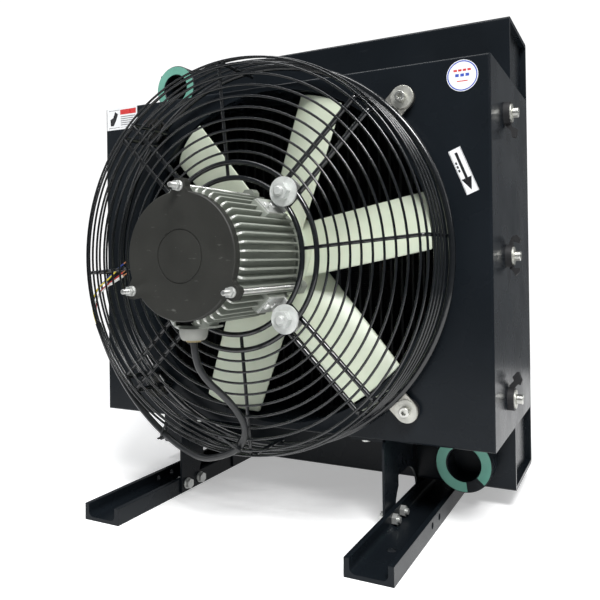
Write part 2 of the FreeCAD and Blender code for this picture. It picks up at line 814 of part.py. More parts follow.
def cross_tie(angle):
    """A short wire across a pair of rods, on their inner side."""
    reach = math.sqrt((BASE_RING - d.base_ring_wire - d.rod_radius) ** 2 - d.rod_spread ** 2)
    reach -= d.rod_radius + d.ring_wire
    half = d.rod_spread + d.rod_radius
    start = around(angle, reach, d.tie_wire_plane, -half)
    end = around(angle, reach, d.tie_wire_plane, half)
    return Part.makeCylinder(d.ring_wire, 2 * half, start, end - start)


finish_shape("guard_radial_wires", [radial_wire(quarter * 90 + d.radial_wire_turn) for quarter in range(4)])
rods = [support_rod(angle, side * d.rod_spread) for angle in DIAGONALS for side in (-1, 1)]
finish_shape("guard_support_rods", rods + [cross_tie(angle) for angle in DIAGONALS])


def guard_ear(angle):
    """A strap with a round end, welded behind the base ring."""
    rear = -d.ear_spacer_height
    half = d.ear_width / 2
    arc = Part.Arc(Vector(d.ear_radius, rear, -half), Vector(d.ear_radius + half, rear, 0),
                   Vector(d.ear_radius, rear, half)).toShape()
    sides = Part.makePolygon([Vector(d.ear_radius, rear, half), Vector(d.ear_root, rear, half),
                              Vector(d.ear_root, rear, -half), Vector(d.ear_radius, rear, -half)])
    strap = Part.Face(Part.Wire([arc] + sides.Edges)).extrude(Vector(0, -d.ear_thickness, 0))
    hole = Part.makeCylinder(d.cap_screw_hole, 3 * d.ear_thickness,
                             Vector(d.ear_radius, rear - 2 * d.ear_thickness, 0), Y_AXIS)
    return spun(strap.cut(hole), angle)


finish_shape("guard_ears", [guard_ear(angle) for angle in DIAGONALS])

ear_spacers = []
for angle in DIAGONALS:
    seat = around(angle, d.ear_radius)
    ear_spacers.append(ring_solid(d.ear_washer_radius, d.cap_screw_radius, seat, d.ear_spacer_height, -Y_AXIS))
    washer_seat = seat - Y_AXIS * (d.ear_spacer_height + d.ear_thickness)
    washers.append(ring_solid(d.ear_washer_radius, d.cap_screw_radius, washer_seat,
                                  d.washer_thickness, -Y_AXIS))
    cap_screws.append(cap_screw(washer_seat - Y_AXIS * d.washer_thickness, -Y_AXIS, 26))
    nuts.append(hexagon(d.small_nut_flats, d.small_nut_height, seat + Y_AXIS * d.sheet_thickness, Y_AXIS,
                        d.cap_screw_radius))
finish_shape("ear_rubber_spacers", ear_spacers)
finish_shape("shroud_washers", washers)
finish_shape("shroud_cap_screws", cap_screws)
finish_shape("shroud_nuts", nuts)


# ---------------------------------------------------------------- labels on the shroud's face

def flat_label(label, centre, size, lean):
    """A thin rectangular label; lean is the angle of its long side from the vertical."""
    across, along = size
    plate = Part.makeBox(across, d.label_thickness, along, Vector(-across / 2, -d.label_thickness, -along / 2))
    plate.Placement = Placement(Vector(centre[0], 0, centre[1]), Rotation(Y_AXIS, lean))
    finish_shape(label, [plate])


flat_label("warning_label", (-266.5, 220), (61, 34), 0)
flat_label("arrow_label", (266.9, 99.3), (15.7, 58), -22.4)
ROUND_LABEL = Vector(267, -d.label_thickness, 214)
finish_shape("round_label", [Part.makeCylinder(19, d.label_thickness, ROUND_LABEL, Y_AXIS)])


# ---------------------------------------------------------------- motor

def turned_plane(body, name, angle, lift=0.0, plane="XY_Plane"):
    """A sketch on a plane that holds the fan's axis, turned about it and lifted along its own normal."""
    sketch = sketch_on(body, plane, name)
    about = Y_AXIS if plane == "XY_Plane" else X_AXIS
    turn = Rotation(about, angle)
    sketch.AttachmentOffset = Placement(turn.multVec(Vector(0, 0, lift)), turn)
    return sketch


def motor_housing():
    """Finned tube with four flats for the brackets and the cable's terminal boss underneath."""
    body = new_body("motor_housing")
    tube = sketch_on(body, "XY_Plane", "housing_section")
    front, rear = "cap_face + cap_thickness", "housing_rear"
    polygon(tube, (("housing_bore", front), ("housing_radius", front), ("housing_radius", rear),
                   ("housing_bore", rear)))
    revolve(body, tube)
    fin = turned_plane(body, "housing_fin", number("motor_fin_start"))
    root, nose, tail = "housing_radius - joint_overlap", front + " + fin_front_gap", rear + " - fin_rear_gap"
    polygon(fin, ((root, nose), ("fin_nose_radius", nose), ("fin_tip", nose + " + fin_nose"), ("fin_tip", tail),
                  (root, tail)))
    polar_pattern(body, [pad(body, fin, "motor_fin_width", symmetric=True)], "motor_fins")
    flat = turned_plane(body, "housing_flat", 45)
    sunk = "housing_radius - 2 * joint_overlap"
    polygon(flat, ((sunk, "pad_front"), ("pad_radius", "pad_front"), ("pad_radius", "pad_rear"),
                   (sunk, "pad_rear")))
    polar_pattern(body, [pad(body, flat, "pad_width", symmetric=True)], "4")
    terminal_boss(body)
    holes = turned_plane(body, "housing_screw_holes", 45, number("pad_radius + 2 * joint_overlap"), "YZ_Plane")
    for depth in ("bracket_screw_front", "bracket_screw_rear"):
        circle(holes, (depth, "0"), "bracket_screw_radius")
    polar_pattern(body, [pocket(body, holes, "pad_radius - housing_radius + joint_overlap")], "4")
    finish(body, "motor_housing")


def terminal_boss(body):
    """A block under the motor with an open window in front, standing on a thin foot plate."""
    boss = sketch_on(body, "YZ_Plane", "housing_boss")
    boss_low, boss_high = "gland_top + foot_thickness / 2", "-housing_bore - 2 * joint_overlap"
    rectangle(boss, ("boss_front", boss_low), ("boss_rear", boss_high))
    pad(body, boss, "2 * boss_half_width", symmetric=True)
    foot = sketch_on(body, "XY_Plane", "housing_boss_foot")
    foot.AttachmentOffset = Placement(Vector(0, 0, d.gland_top), Rotation())
    polygon(foot, (("-foot_half_width", "foot_rear"), ("-foot_half_width", "foot_front + foot_corner"),
                   ("-foot_half_width + foot_corner", "foot_front"), ("foot_half_width - foot_corner", "foot_front"),
                   ("foot_half_width", "foot_front + foot_corner"), ("foot_half_width", "foot_rear")))
    pad(body, foot, "foot_thickness")
    window = sketch_on(body, "XZ_Plane", "housing_window")
    window.AttachmentOffset = Placement(Vector(0, 0, -d.boss_front - d.window_depth), Rotation())
    rectangle(window, ("window_left", "gland_top + foot_thickness"), ("window_right", "window_top"))
    pocket(body, window, "2 * window_depth", reverse=True)


def shield_ears(body, low, height):
    """Three lugs with stud holes on an end shield, from the depth low rearwards."""
    placing = Placement(Vector(0, 0, -number(low)), Rotation())
    lug = sketch_on(body, "XZ_Plane", body.Name + "_lug")
    lug.AttachmentOffset = placing
    root, crown = "cap_radius - 2 * ear_tip_half / 3", "stud_circle + ear_lobe"
    polygon(lug, (("-ear_flare", root), ("-ear_lobe", "stud_circle - joint_overlap"),
                  ("-ear_lobe", "stud_circle + ear_lobe / 2"), ("-ear_tip_half", crown), ("ear_tip_half", crown),
                  ("ear_lobe", "stud_circle + ear_lobe / 2"), ("ear_lobe", "stud_circle - joint_overlap"),
                  ("ear_flare", root)))
    hole = sketch_on(body, "XZ_Plane", body.Name + "_stud_hole")
    circle(hole, ("0", "stud_circle"), "stud_hole")
    polar_pattern(body, [pad(body, lug, height, reverse=True)], str(len(EAR_ANGLES)))
    polar_pattern(body, [pocket(body, hole, "2 * abs(cap_face)", symmetric=True)], str(len(EAR_ANGLES)))


def motor_front_cap():
    """The front end shield, with a shallow ring groove in its face and the bearing's seat behind."""
    body = new_body("motor_front_cap")
    profile = sketch_on(body, "XY_Plane", "front_cap_section")
    face, back = "cap_face", "cap_face + cap_thickness"
    seat = "front_bearing_y + bearing_width + joint_overlap"
    groove_in, groove_out = "cap_groove - groove_width / 2", "cap_groove + groove_width / 2"
    spigot_out, spigot_in = "housing_bore - 0.1", "housing_bore - spigot_wall"
    relief = "front_bearing_y - bearing_relief"
    polygon(profile, (("0", face), (groove_in, face), (groove_in, face + " + groove_depth"),
                      (groove_out, face + " + groove_depth"), (groove_out, face), ("cap_radius - cap_edge", face),
                      ("cap_radius", face + " + cap_edge"), ("cap_radius", back), (spigot_out, back),
                      (spigot_out, back + " + spigot_length"), (spigot_in, back + " + spigot_length"),
                      (spigot_in, back), ("shield_relief", back), ("shield_relief", seat),
                      ("bearing_outer", seat), ("bearing_outer", "front_bearing_y"),
                      ("bearing_shoulder", "front_bearing_y"), ("bearing_shoulder", relief), ("0", relief)))
    revolve(body, profile)
    shield_ears(body, face, "cap_thickness")
    finish(body, "motor_front_cap")


def motor_rear_shield():
    """The rear end shield, with the bearing's seat and the shaft's hole."""
    body = new_body("motor_rear_shield")
    profile = sketch_on(body, "XY_Plane", "rear_shield_section")
    front, back = "housing_rear", "housing_rear + shield_thickness"
    seat = "rear_bearing_y + bearing_width"
    shaft_hole = "drive_radius + joint_overlap"
    spigot_out, spigot_in = "housing_bore - 0.1", "housing_bore - spigot_wall"
    spigot_end, relief = front + " - spigot_length + joint_overlap", seat + " + bearing_relief"
    polygon(profile, ((shaft_hole, back), ("cap_radius - cap_edge", back), ("cap_radius", back + " - cap_edge"),
                      ("cap_radius", front), (spigot_out, front), (spigot_out, spigot_end),
                      (spigot_in, spigot_end), (spigot_in, front), ("shield_relief", front),
                      ("shield_relief", "rear_bearing_y"), ("bearing_outer", "rear_bearing_y"),
                      ("bearing_outer", seat), ("bearing_shoulder", seat), ("bearing_shoulder", relief),
                      (shaft_hole, relief)))
    revolve(body, profile)
    shield_ears(body, front, "shield_thickness")
    finish(body, "motor_rear_shield")


motor_housing()
motor_front_cap()
motor_rear_shield()

STUD_FRONT = d.cap_face - 17
STUD_REAR = d.housing_rear + d.shield_thickness + 8
studs, stud_nuts = [], []
for angle in EAR_ANGLES:
    stud = Part.makeCylinder(d.stud_radius, STUD_REAR - STUD_FRONT, around(angle, d.stud_circle, STUD_FRONT), Y_AXIS)
    studs.append(stud.makeFillet(1.6, [edge for edge in stud.Edges if edge.Closed]))
    seat = around(angle, d.stud_circle, d.cap_face)
    stud_nuts.append(ring_solid(6, d.stud_radius, seat, 2, -Y_AXIS))
    stud_nuts.append(hexagon(10, 5, seat - Y_AXIS * 2, -Y_AXIS, d.stud_radius))
    rear_seat = around(angle, d.stud_circle, d.housing_rear + d.shield_thickness)
    stud_nuts.append(hexagon(10, 5, rear_seat, Y_AXIS, d.stud_radius))
finish_shape("tie_studs", studs)
finish_shape("stud_nuts", stud_nuts)


def stator_core():
    body = new_body("stator_core")
    profile = sketch_on(body, "XY_Plane", "stator_section")
    rectangle(profile, ("stator_bore", "stack_front"), ("housing_bore", "stack_rear"))
    revolve(body, profile)
    slot = sketch_on(body, "YZ_Plane", "stator_slot")
    rectangle(slot, ("stack_front - 1", "-2.25"), ("stack_rear + 1", "2.25"))
    slot.AttachmentOffset = Placement(Vector(0, 0, SLOT_OUTER), Rotation())
    mouth = sketch_on(body, "YZ_Plane", "stator_slot_mouth")
    rectangle(mouth, ("stack_front - 1", "-1"), ("stack_rear + 1", "1"))
    mouth.AttachmentOffset = Placement(Vector(0, 0, SLOT_INNER + 1), Rotation())
    cuts = [pocket(body, slot, str(SLOT_OUTER - SLOT_INNER)), pocket(body, mouth, "6")]
    polar_pattern(body, cuts, "stator_slots")
    finish(body, "stator_core")


def stator_windings():
    """The copper: a bar in every slot, joined by the end windings."""
    length = d.stack_rear - d.stack_front
    bar = Part.makeBox(SLOT_OUTER - SLOT_INNER, length, 4.5, Vector(SLOT_INNER, d.stack_front, -2.25))
    bars = [spun(bar, index * 360 / d.stator_slots) for index in range(int(d.stator_slots))]
    ends = [ring_solid(56, 38, Vector(0, y, 0), 16) for y in (d.stack_front - 16, d.stack_rear)]
    finish_shape("stator_windings", [ends[0].multiFuse(ends[1:] + bars).removeSplitter()])


SLOT_INNER, SLOT_OUTER = 37, 50
stator_core()
stator_windings()

turned("rotor_core", (("shaft_body", "stack_front"), ("24", "stack_front"), ("24", "stack_front - 8"),
                      ("32", "stack_front - 8"), ("32", "stack_front"), ("rotor_radius", "stack_front"),
                      ("rotor_radius", "stack_rear"), ("32", "stack_rear"), ("32", "stack_rear + 8"),
                      ("24", "stack_rear + 8"), ("24", "stack_rear"), ("shaft_body", "stack_rear")))

SHAFT_END = 7
KEY_FRONT, KEY_LENGTH = -12, 16


def motor_shaft():
    body = new_body("motor_shaft")
    profile = sketch_on(body, "XY_Plane", "shaft_section")
    front_seat, rear_seat = "front_bearing_y + bearing_width", "rear_bearing_y"
    shoulder = "rear_bearing_y + bearing_width + 0.5"
    polygon(profile, (("0", "front_bearing_y + 0.5"), ("journal_radius", "front_bearing_y + 0.5"),
                      ("journal_radius", front_seat), ("shaft_body", front_seat), ("shaft_body", rear_seat),
                      ("journal_radius", rear_seat), ("journal_radius", shoulder), ("drive_radius", shoulder),
                      ("drive_radius", str(SHAFT_END)), ("fan_bolt_radius", str(SHAFT_END)),
                      ("fan_bolt_radius", "-15"), ("0", "-15")))
    revolve(body, profile)
    keyway = sketch_on(body, "XY_Plane", "shaft_keyway")
    keyway.AttachmentOffset = Placement(Vector(0, 0, d.drive_radius - 2.4), Rotation())
    rectangle(keyway, ("-key_width / 2", str(KEY_FRONT)), ("key_width / 2", str(KEY_FRONT + KEY_LENGTH)))
    pocket(body, keyway, "6", reverse=True)
    finish(body, "motor_shaft")


motor_shaft()

outer_rings, inner_rings, balls = [], [], []
for start in (d.front_bearing_y, d.rear_bearing_y):
    base = Vector(0, start, 0)
    middle = base + Y_AXIS * (d.bearing_width / 2)
    outer_rings.append(ring_solid(d.bearing_outer, d.outer_ring_inner, base, d.bearing_width))
    groove = Part.makeTorus(d.ball_circle, d.ball_radius + 0.02, middle, Y_AXIS)
    inner_rings.append(ring_solid(d.inner_ring_outer, d.journal_radius, base, d.bearing_width).cut(groove))
    for index in range(int(d.ball_count)):
        seat = around(index * 360 / d.ball_count, d.ball_circle, middle.y)
        balls.append(Part.makeSphere(d.ball_radius, seat))
finish_shape("bearing_outer_rings", outer_rings)
finish_shape("bearing_inner_rings", inner_rings)
finish_shape("bearing_balls", balls)


# ---------------------------------------------------------------- motor brackets and clamp bolts

UPRIGHT_FRONT = d.rod_plane + d.rod_radius
CLAMP_SEAT = d.rod_plane - d.rod_radius - 2 * d.hub_ring_wire


def motor_bracket(angle):
    """An angle bracket: its foot on the housing's flat, its upright behind the guard's rods."""
    half = d.bracket_width / 2
    rear = UPRIGHT_FRONT + d.bracket_thickness
    foot = Part.makeBox(d.bracket_thickness, rear - d.pad_front - 2, 2 * half,
                        Vector(d.pad_radius, d.pad_front + 2, -half))
    upright = Part.makeBox(d.bracket_tip - d.pad_radius, d.bracket_thickness, 2 * half,
                           Vector(d.pad_radius, UPRIGHT_FRONT, -half))
    corners = [edge for edge in upright.Edges if abs(edge.CenterOfMass.x - d.bracket_tip) < 0.01
               and abs(edge.CenterOfMass.z) > half - 0.01]
    upright = upright.makeFillet(7, corners)
    holes = [Part.makeCylinder(d.clamp_bolt_radius + 0.4, 20, Vector(d.clamp_radius, UPRIGHT_FRONT - 5, 0), Y_AXIS)]
    holes += [Part.makeCylinder(d.bracket_screw_radius + 0.2, 20, Vector(d.pad_radius - 5, y, 0), X_AXIS)
              for y in (d.bracket_screw_front, d.bracket_screw_rear)]
    return spun(foot.fuse(upright).cut(Part.makeCompound(holes)).removeSplitter(), angle)


clamp_bolts, clamp_washers = [], []
for angle in DIAGONALS:
    seat = around(angle, d.clamp_radius, CLAMP_SEAT)
    clamp_washers.append(ring_solid(d.clamp_washer_radius, d.clamp_bolt_radius + 0.2, seat,
                                    d.clamp_washer_thickness, -Y_AXIS))
    nut_seat = seat - Y_AXIS * d.clamp_washer_thickness
    nut = hexagon(d.clamp_nut_flats, d.clamp_nut_height, nut_seat, -Y_AXIS, d.clamp_bolt_radius)
    head_seat = around(angle, d.clamp_radius, UPRIGHT_FRONT + d.bracket_thickness)
    length = head_seat.y - nut_seat.y + d.clamp_nut_height + 4.5
    shank = Part.makeCylinder(d.clamp_bolt_radius, length, head_seat, -Y_AXIS)
    tip = min(shank.Edges, key=lambda edge: edge.CenterOfMass.y)
    shank = shank.makeFillet(2.5, [tip])
    head = hexagon(d.clamp_nut_flats, 7.5, head_seat, Y_AXIS)
    clamp_bolts += [shank.fuse(head).removeSplitter(), nut]
    outward = around(angle, 1)
    for y in (d.bracket_screw_front, d.bracket_screw_rear):
        under_head = around(angle, d.pad_radius + d.bracket_thickness, y)
        small_screws.append(pan_screw(under_head, outward, 12, d.bracket_screw_radius, 4.5, 3))
finish_shape("motor_brackets", [motor_bracket(angle) for angle in DIAGONALS])
finish_shape("small_screws", small_screws)
finish_shape("clamp_washers", clamp_washers)
finish_shape("clamp_bolts", clamp_bolts)


# ---------------------------------------------------------------- fan

def fan_hub():
    body = new_body("fan_hub")
    profile = sketch_on(body, "XY_Plane", "hub_section")
    inner = "hub_radius - hub_wall"
    polygon(profile, (("drive_radius", "hub_front"), ("hub_boss", "hub_front"), ("hub_boss", "0"), (inner, "0"),
                      (inner, "hub_front"), ("hub_radius - 2", "hub_front"), ("hub_radius", "hub_front + 2"),
                      ("hub_radius", "hub_rear"), (inner, "hub_rear"), (inner, "hub_web"),
                      ("drive_radius", "hub_web")))
    revolve(body, profile)
    keyway = sketch_on(body, "XY_Plane", "hub_keyway")
    rectangle(keyway, ("-key_width / 2", "hub_front - 1"), ("key_width / 2", "hub_web + 1"))
    pocket(body, keyway, "drive_radius + 2.3", reverse=True)
    finish(body, "fan_hub")


def blade_section(radius):
    """A closed aerofoil outline at one radius, laid in the tangent plane of the first blade."""
    share = (radius - d.hub_radius) / (d.blade_tip - d.hub_radius)
    chord = d.root_chord + share * (d.tip_chord - d.root_chord)
    stagger = math.radians(d.root_stagger + share * (d.tip_stagger - d.root_stagger))
    crown = (d.root_thickness + share * (d.tip_thickness - d.root_thickness)) / 2 - d.blade_edge

    def skin(side):
        """One face of the blade, from its leading edge to its trailing edge."""
        points = []
        for step in range(9):
            along = -math.cos(math.pi * step / 8)
            rise = side * (d.blade_edge + crown * (1 - along ** 4)) - d.blade_camber * (1 - along ** 2)
            run = along * chord / 2
            tangent = run * math.cos(stagger) - rise * math.sin(stagger)
            depth = run * math.sin(stagger) + rise * math.cos(stagger)
            points.append(Vector(radius, d.blade_middle + depth, tangent))
        curve = Part.BSplineCurve()
        curve.interpolate(points)
        return points, curve.toShape()

    front, front_edge = skin(-1)
    back, back_edge = skin(1)
    trailing = Part.LineSegment(front[-1], back[-1]).toShape()
    leading = Part.LineSegment(back[0], front[0]).toShape()
    return Part.Wire([front_edge, trailing, back_edge, leading])


def fan_blade():
    """One blade: a loft trimmed to the hub's and the tip's cylinders."""
    start, end = d.hub_radius - 16, d.blade_tip + 8
    radii = [start + (end - start) * step / 5 for step in range(6)]
    blade = Part.makeLoft([blade_section(radius) for radius in radii], True, False)
    tip = Part.makeCylinder(d.blade_tip, 120, Vector(0, -50, 0), Y_AXIS)
    hub = Part.makeCylinder(d.hub_radius, 120, Vector(0, -50, 0), Y_AXIS)
    return blade.common(tip).cut(hub)


fan_hub()
blade = fan_blade()
finish_shape("fan_blades", [spun(blade, d.first_blade_angle + index * 360 / d.blade_count)
                            for index in range(int(d.blade_count))])

fan_seat = Vector(0, d.hub_web, 0)
fan_washer = ring_solid(15, d.fan_bolt_radius, fan_seat, 2.5)
bolt_seat = fan_seat + Y_AXIS * 2.5
fan_bolt = hexagon(13, 5.5, bolt_seat).fuse(Part.makeCylinder(d.fan_bolt_radius, 22, bolt_seat, -Y_AXIS))
fan_key = Part.makeBox(d.key_width, KEY_LENGTH, 4.6, Vector(-d.key_width / 2, KEY_FRONT, d.drive_radius - 2.4))
finish_shape("fan_fasteners", [fan_washer, fan_bolt.removeSplitter(), fan_key])


# ---------------------------------------------------------------- legs and rails

def leg(label, side):
    """A plate with an arch between the front strip and the foot under the bottom tank."""
    body = new_body(label)
    outer_face = side * (d.rail_centre - d.rail_width / 2)
    profile = sketch_on(body, "YZ_Plane", label + "_plate")
    profile.AttachmentOffset = Placement(Vector(0, 0, outer_face), Rotation())
    top, bottom = "-shroud_height / 2", "leg_lift - axis_height"
    tank_under = "-shroud_height / 2 - tank_height"
    polygon(profile, (("0", top), ("shroud_depth", top), ("shroud_depth", tank_under),
                      ("shroud_depth + core_depth", tank_under), ("shroud_depth + core_depth", bottom),
                      ("0", bottom)))
    plate = pad(body, profile, "leg_thickness", reverse=side > 0)
    round_edges(body, plate, "leg_corner",
                lambda point: near(point.y, 0) and near(point.z, -d.shroud_height / 2))
    below = bottom + " - 1"
    arch_cuts = [sketch_on(body, "YZ_Plane", f"{label}_arch_{step}") for step in (1, 2, 3)]
    rectangle(arch_cuts[0], ("leg_strip", below), ("arch_rear - arch_corner", "-arch_top"))
    rectangle(arch_cuts[1], ("leg_strip", below), ("arch_rear", "-arch_top - arch_corner"))
    circle(arch_cuts[2], ("arch_rear - arch_corner", "-arch_top - arch_corner"), "arch_corner")
    for arch_cut in arch_cuts:
        pocket(body, arch_cut, "2 * rail_centre", symmetric=True)
    flange = sketch_on(body, "XZ_Plane", label + "_flange")
    inner = f"{side} * (rail_centre - rail_width / 2 - leg_flange)"
    rectangle(flange, (inner, "-shroud_height / 2 - leg_thickness"),
              (f"{side} * (rail_centre - rail_width / 2 - leg_thickness)", "-shroud_height / 2"))
    flange.AttachmentOffset = Placement(Vector(0, 0, -3), Rotation())
    pad(body, flange, "leg_strip - 3", reverse=True)
    screw_hole = sketch_on(body, "XY_Plane", label + "_screw_hole")
    circle(screw_hole, (LEG_SCREWS[0] if side < 0 else LEG_SCREWS[1], "leg_bolt_front"), "sheet_screw_hole")
    pocket(body, screw_hole, "2 * axis_height", symmetric=True)
    bolt_holes = sketch_on(body, "YZ_Plane", label + "_bolt_holes")
    for step in (0, 1):
        circle(bolt_holes, (f"leg_bolt_front + {step} * leg_bolt_pitch", "leg_bolt_height - axis_height"),
               "leg_bolt_radius + 0.3")
    pocket(body, bolt_holes, "2 * rail_centre", symmetric=True)
    finish(body, label)


def rail(label, side):
    """A channel open to the top, with large inner radii, anchor holes and the leg's bolt holes."""
    body = new_body(label)
    inner, outer = f"{side} * rail_centre - rail_width / 2", f"{side} * rail_centre + rail_width / 2"
    section = sketch_on(body, "XZ_Plane", label + "_section")
    polygon(section, ((inner, "0"), (outer, "0"), (outer, "rail_height"), (outer + " - rail_flange", "rail_height"),
                      (outer + " - rail_flange", "rail_web"), (inner + " + rail_flange", "rail_web"),
                      (inner + " + rail_flange", "rail_height"), (inner, "rail_height")))
    section.AttachmentOffset = Placement(Vector(0, 0, -number("rail_front")), Rotation())
    channel = pad(body, section, "rail_length", reverse=True)
    half = d.rail_width / 2 - d.rail_flange
    round_edges(body, channel, "rail_fillet", lambda point: near(point.z, d.rail_web) and
                near(abs(point.x - side * d.rail_centre), half))
    anchors = sketch_on(body, "XY_Plane", label + "_anchor_holes")
    for step in (-0.5, 0.5):
        circle(anchors, (f"{side} * rail_centre", f"-front_plane + {step} * anchor_spacing"), "anchor_radius")
    pocket(body, anchors, "2 * rail_height", symmetric=True)
    bolt_holes = sketch_on(body, "YZ_Plane", label + "_bolt_holes")
    for step in (0, 1):
        circle(bolt_holes, (f"leg_bolt_front + {step} * leg_bolt_pitch", "leg_bolt_height"),
               "leg_bolt_radius + 0.3")
    pocket(body, bolt_holes, "3 * rail_centre", symmetric=True)
    spot = sketch_on(body, "YZ_Plane", label + "_nut_seats")
    near_flange = d.rail_centre - d.rail_width / 2 + d.rail_flange
    spot.AttachmentOffset = Placement(Vector(0, 0, side * near_flange), Rotation())
    for step in (0, 1):
        circle(spot, (f"leg_bolt_front + {step} * leg_bolt_pitch", "leg_bolt_height"), "8.5")
    pocket(body, spot, "rail_fillet + 2", reverse=side > 0)
    finish(body, label, FLOOR_FRAME)


for side, word in ((-1, "left"), (1, "right")):
    leg(word + "_leg", side)
    rail(word + "_rail", side)

leg_bolts = []
for side in (-1, 1):
    outward = X_AXIS * side
    inner_face = d.rail_centre - d.rail_width / 2 - d.leg_thickness
    nut_face = d.rail_centre - d.rail_width / 2 + d.rail_flange
    for step in (0, 1):
        y = d.leg_bolt_front + step * d.leg_bolt_pitch
        z = d.leg_bolt_height - d.axis_height
        head_seat = Vector(side * inner_face, y, z)
        head = hexagon(13, 5.3, head_seat - outward * 1.6, -outward)
        head = head.fuse(Part.makeCylinder(8, 1.6, head_seat, -outward))
        shank = Part.makeCylinder(d.leg_bolt_radius, nut_face - inner_face + 10, head_seat, outward)
        nut = hexagon(13, 6.5, Vector(side * nut_face, y, z), outward, d.leg_bolt_radius)
        leg_bolts += [head.fuse(shank).removeSplitter(), nut]
finish_shape("leg_bolts", leg_bolts)


# ---------------------------------------------------------------- cable, leads and ties

GLAND_TIP = Vector(0, d.gland_y, d.gland_top - d.gland_length)


def cable_gland():
    """A bowl under the foot plate that narrows to a short neck round the cable."""
    depth = d.gland_length - d.gland_rim
    profile = [Vector(0, 0, 0), Vector(d.gland_neck, 0, 0), Vector(d.gland_neck, 0, d.gland_rim)]
    steps = 8
    waist = 0.7 * d.gland_radius
    for step in range(steps + 1):
        turn = math.pi / 2 * step / steps
        profile.append(Vector(waist + (d.gland_radius - waist) * math.sin(turn), 0,
                              d.gland_rim + depth * (1 - math.cos(turn))))
    profile += [Vector(0, 0, d.gland_length), Vector(0, 0, 0)]
    bowl = Part.Face(Part.makePolygon(profile)).revolve(Vector(), Z_AXIS, 360)
    bowl.translate(GLAND_TIP)
    return bowl


finish_shape("cable_gland", [cable_gland()])

CABLE_ROUTE = [Vector(*point) for point in (
    (0, -182, -97.5), (1, -181, -120), (9, -171, -143), (19, -151, -163), (26, -134, -183),
    (29, -120, -204), (22, -111, -225), (6, -108, -241), (-18, -107, -251), (-43, -104, -257.5),
    (-70, -100, -253.5), (-104, -95, -241.5), (-139, -89, -223), (-174, -84, -197),
    (-205, -80, -165), (-229, -78, -130), (-245.5, -78, -94))]
BLUE_ROUTE = [Vector(*point) for point in (
    (-246.9, -76.5, -94.6), (-254, -76.5, -79.1), (-257.5, -75, -61), (-250.5, -73.5, -44),
    (-235, -73, -31.5), (-217, -73, -18.5), (-200, -74, -8))]
YELLOW_ROUTE = [Vector(*point) for point in (
    (-246.9, -79.5, -94.6), (-254, -79.5, -79.1), (-256.5, -77.5, -60), (-248, -75, -42.5),
    (-233, -75.5, -33.5), (-220, -76, -24.5), (-209, -76.5, -16))]
RED_ROUTE = [Vector(*point) for point in (
    (-244.1, -76.5, -93.4), (-251.2, -76.5, -77.9), (-254, -72.5, -61), (-245.5, -71.5, -46),
    (-231, -71, -36.5), (-216, -71, -28.5), (-204, -71.5, -20.5))]
WHITE_ROUTE = [Vector(*point) for point in (
    (-244.1, -79.5, -93.4), (-251.2, -79.5, -77.9), (-252.5, -75.5, -61), (-240.2, -73.9, -45.2),
    (-225, -74.3, -37.6))]
SLEEVE_END = Vector(-201, -75, -25.5)

cord_tube("motor_cable", CABLE_ROUTE, d.cable_radius)
cord_tube("lead_blue", BLUE_ROUTE, d.lead_radius)
cord_tube("lead_yellow", YELLOW_ROUTE, d.lead_radius)
cord_tube("lead_red", RED_ROUTE, d.lead_radius)
cord_tube("lead_white", WHITE_ROUTE, d.lead_radius)


def bare_end(before, end, length):
    """The stripped copper at the end of a lead."""
    return Part.makeCylinder(d.core_radius, length, end, end - before)


sleeve_start = WHITE_ROUTE[-1]
finish_shape("lead_sleeve", [Part.makeCylinder(d.sleeve_radius, sleeve_start.distanceToPoint(SLEEVE_END),
                                               sleeve_start, SLEEVE_END - sleeve_start)])
finish_shape("lead_cores", [bare_end(BLUE_ROUTE[-2], BLUE_ROUTE[-1], 8), bare_end(RED_ROUTE[-2], RED_ROUTE[-1], 5),
                            bare_end(YELLOW_ROUTE[-2], YELLOW_ROUTE[-1], 4),
                            bare_end(sleeve_start, SLEEVE_END, 8)])


def hull_band(near_radius, far_radius, far, width):
    """A plate around two circles and the space between them, the second one at (far, 0)."""
    lean = math.acos((near_radius - far_radius) / far)
    corners = [Vector(near_radius * math.cos(lean), near_radius * math.sin(lean), 0),
               Vector(far + far_radius * math.cos(lean), far_radius * math.sin(lean), 0),
               Vector(far + far_radius * math.cos(lean), -far_radius * math.sin(lean), 0),
               Vector(near_radius * math.cos(lean), -near_radius * math.sin(lean), 0)]
    middle = Part.Face(Part.makePolygon(corners + corners[:1])).extrude(Vector(0, 0, width))
    ends = [Part.makeCylinder(near_radius, width), Part.makeCylinder(far_radius, width, Vector(far, 0, 0))]
    return middle.multiFuse(ends).removeSplitter()


def cable_tie(start, end, share, ring_point, ring_radius, tail):
    """A tie round the cable and a guard ring, square to the cable, with its head and cut tail."""
    along = (end - start).normalize()
    centre = start + (end - start) * share
    reach = ring_point - centre
    reach -= along * reach.dot(along)
    far = reach.Length
    cable_fit, ring_fit = d.cable_radius + d.tie_slack, ring_radius
    outer = hull_band(cable_fit + d.tie_thickness, ring_fit + d.tie_thickness, far, d.tie_width)
    inner = hull_band(cable_fit, ring_fit, far, d.tie_width)
    head_low = -(cable_fit + d.tie_thickness + 4)
    head = Part.makeBox(4.4, 6, d.tie_width + 1.6, Vector(head_low, -3, -0.8))
    strip = Part.makeBox(d.tie_thickness, tail, d.tie_width, Vector(head_low + 1.4, -3 - tail, 0))
    tie = outer.cut(inner).multiFuse([head, strip])
    side = along.cross(reach)
    tie.Placement = Placement(centre - along * (d.tie_width / 2), Rotation(reach, side, along, "ZXY"))
    return tie


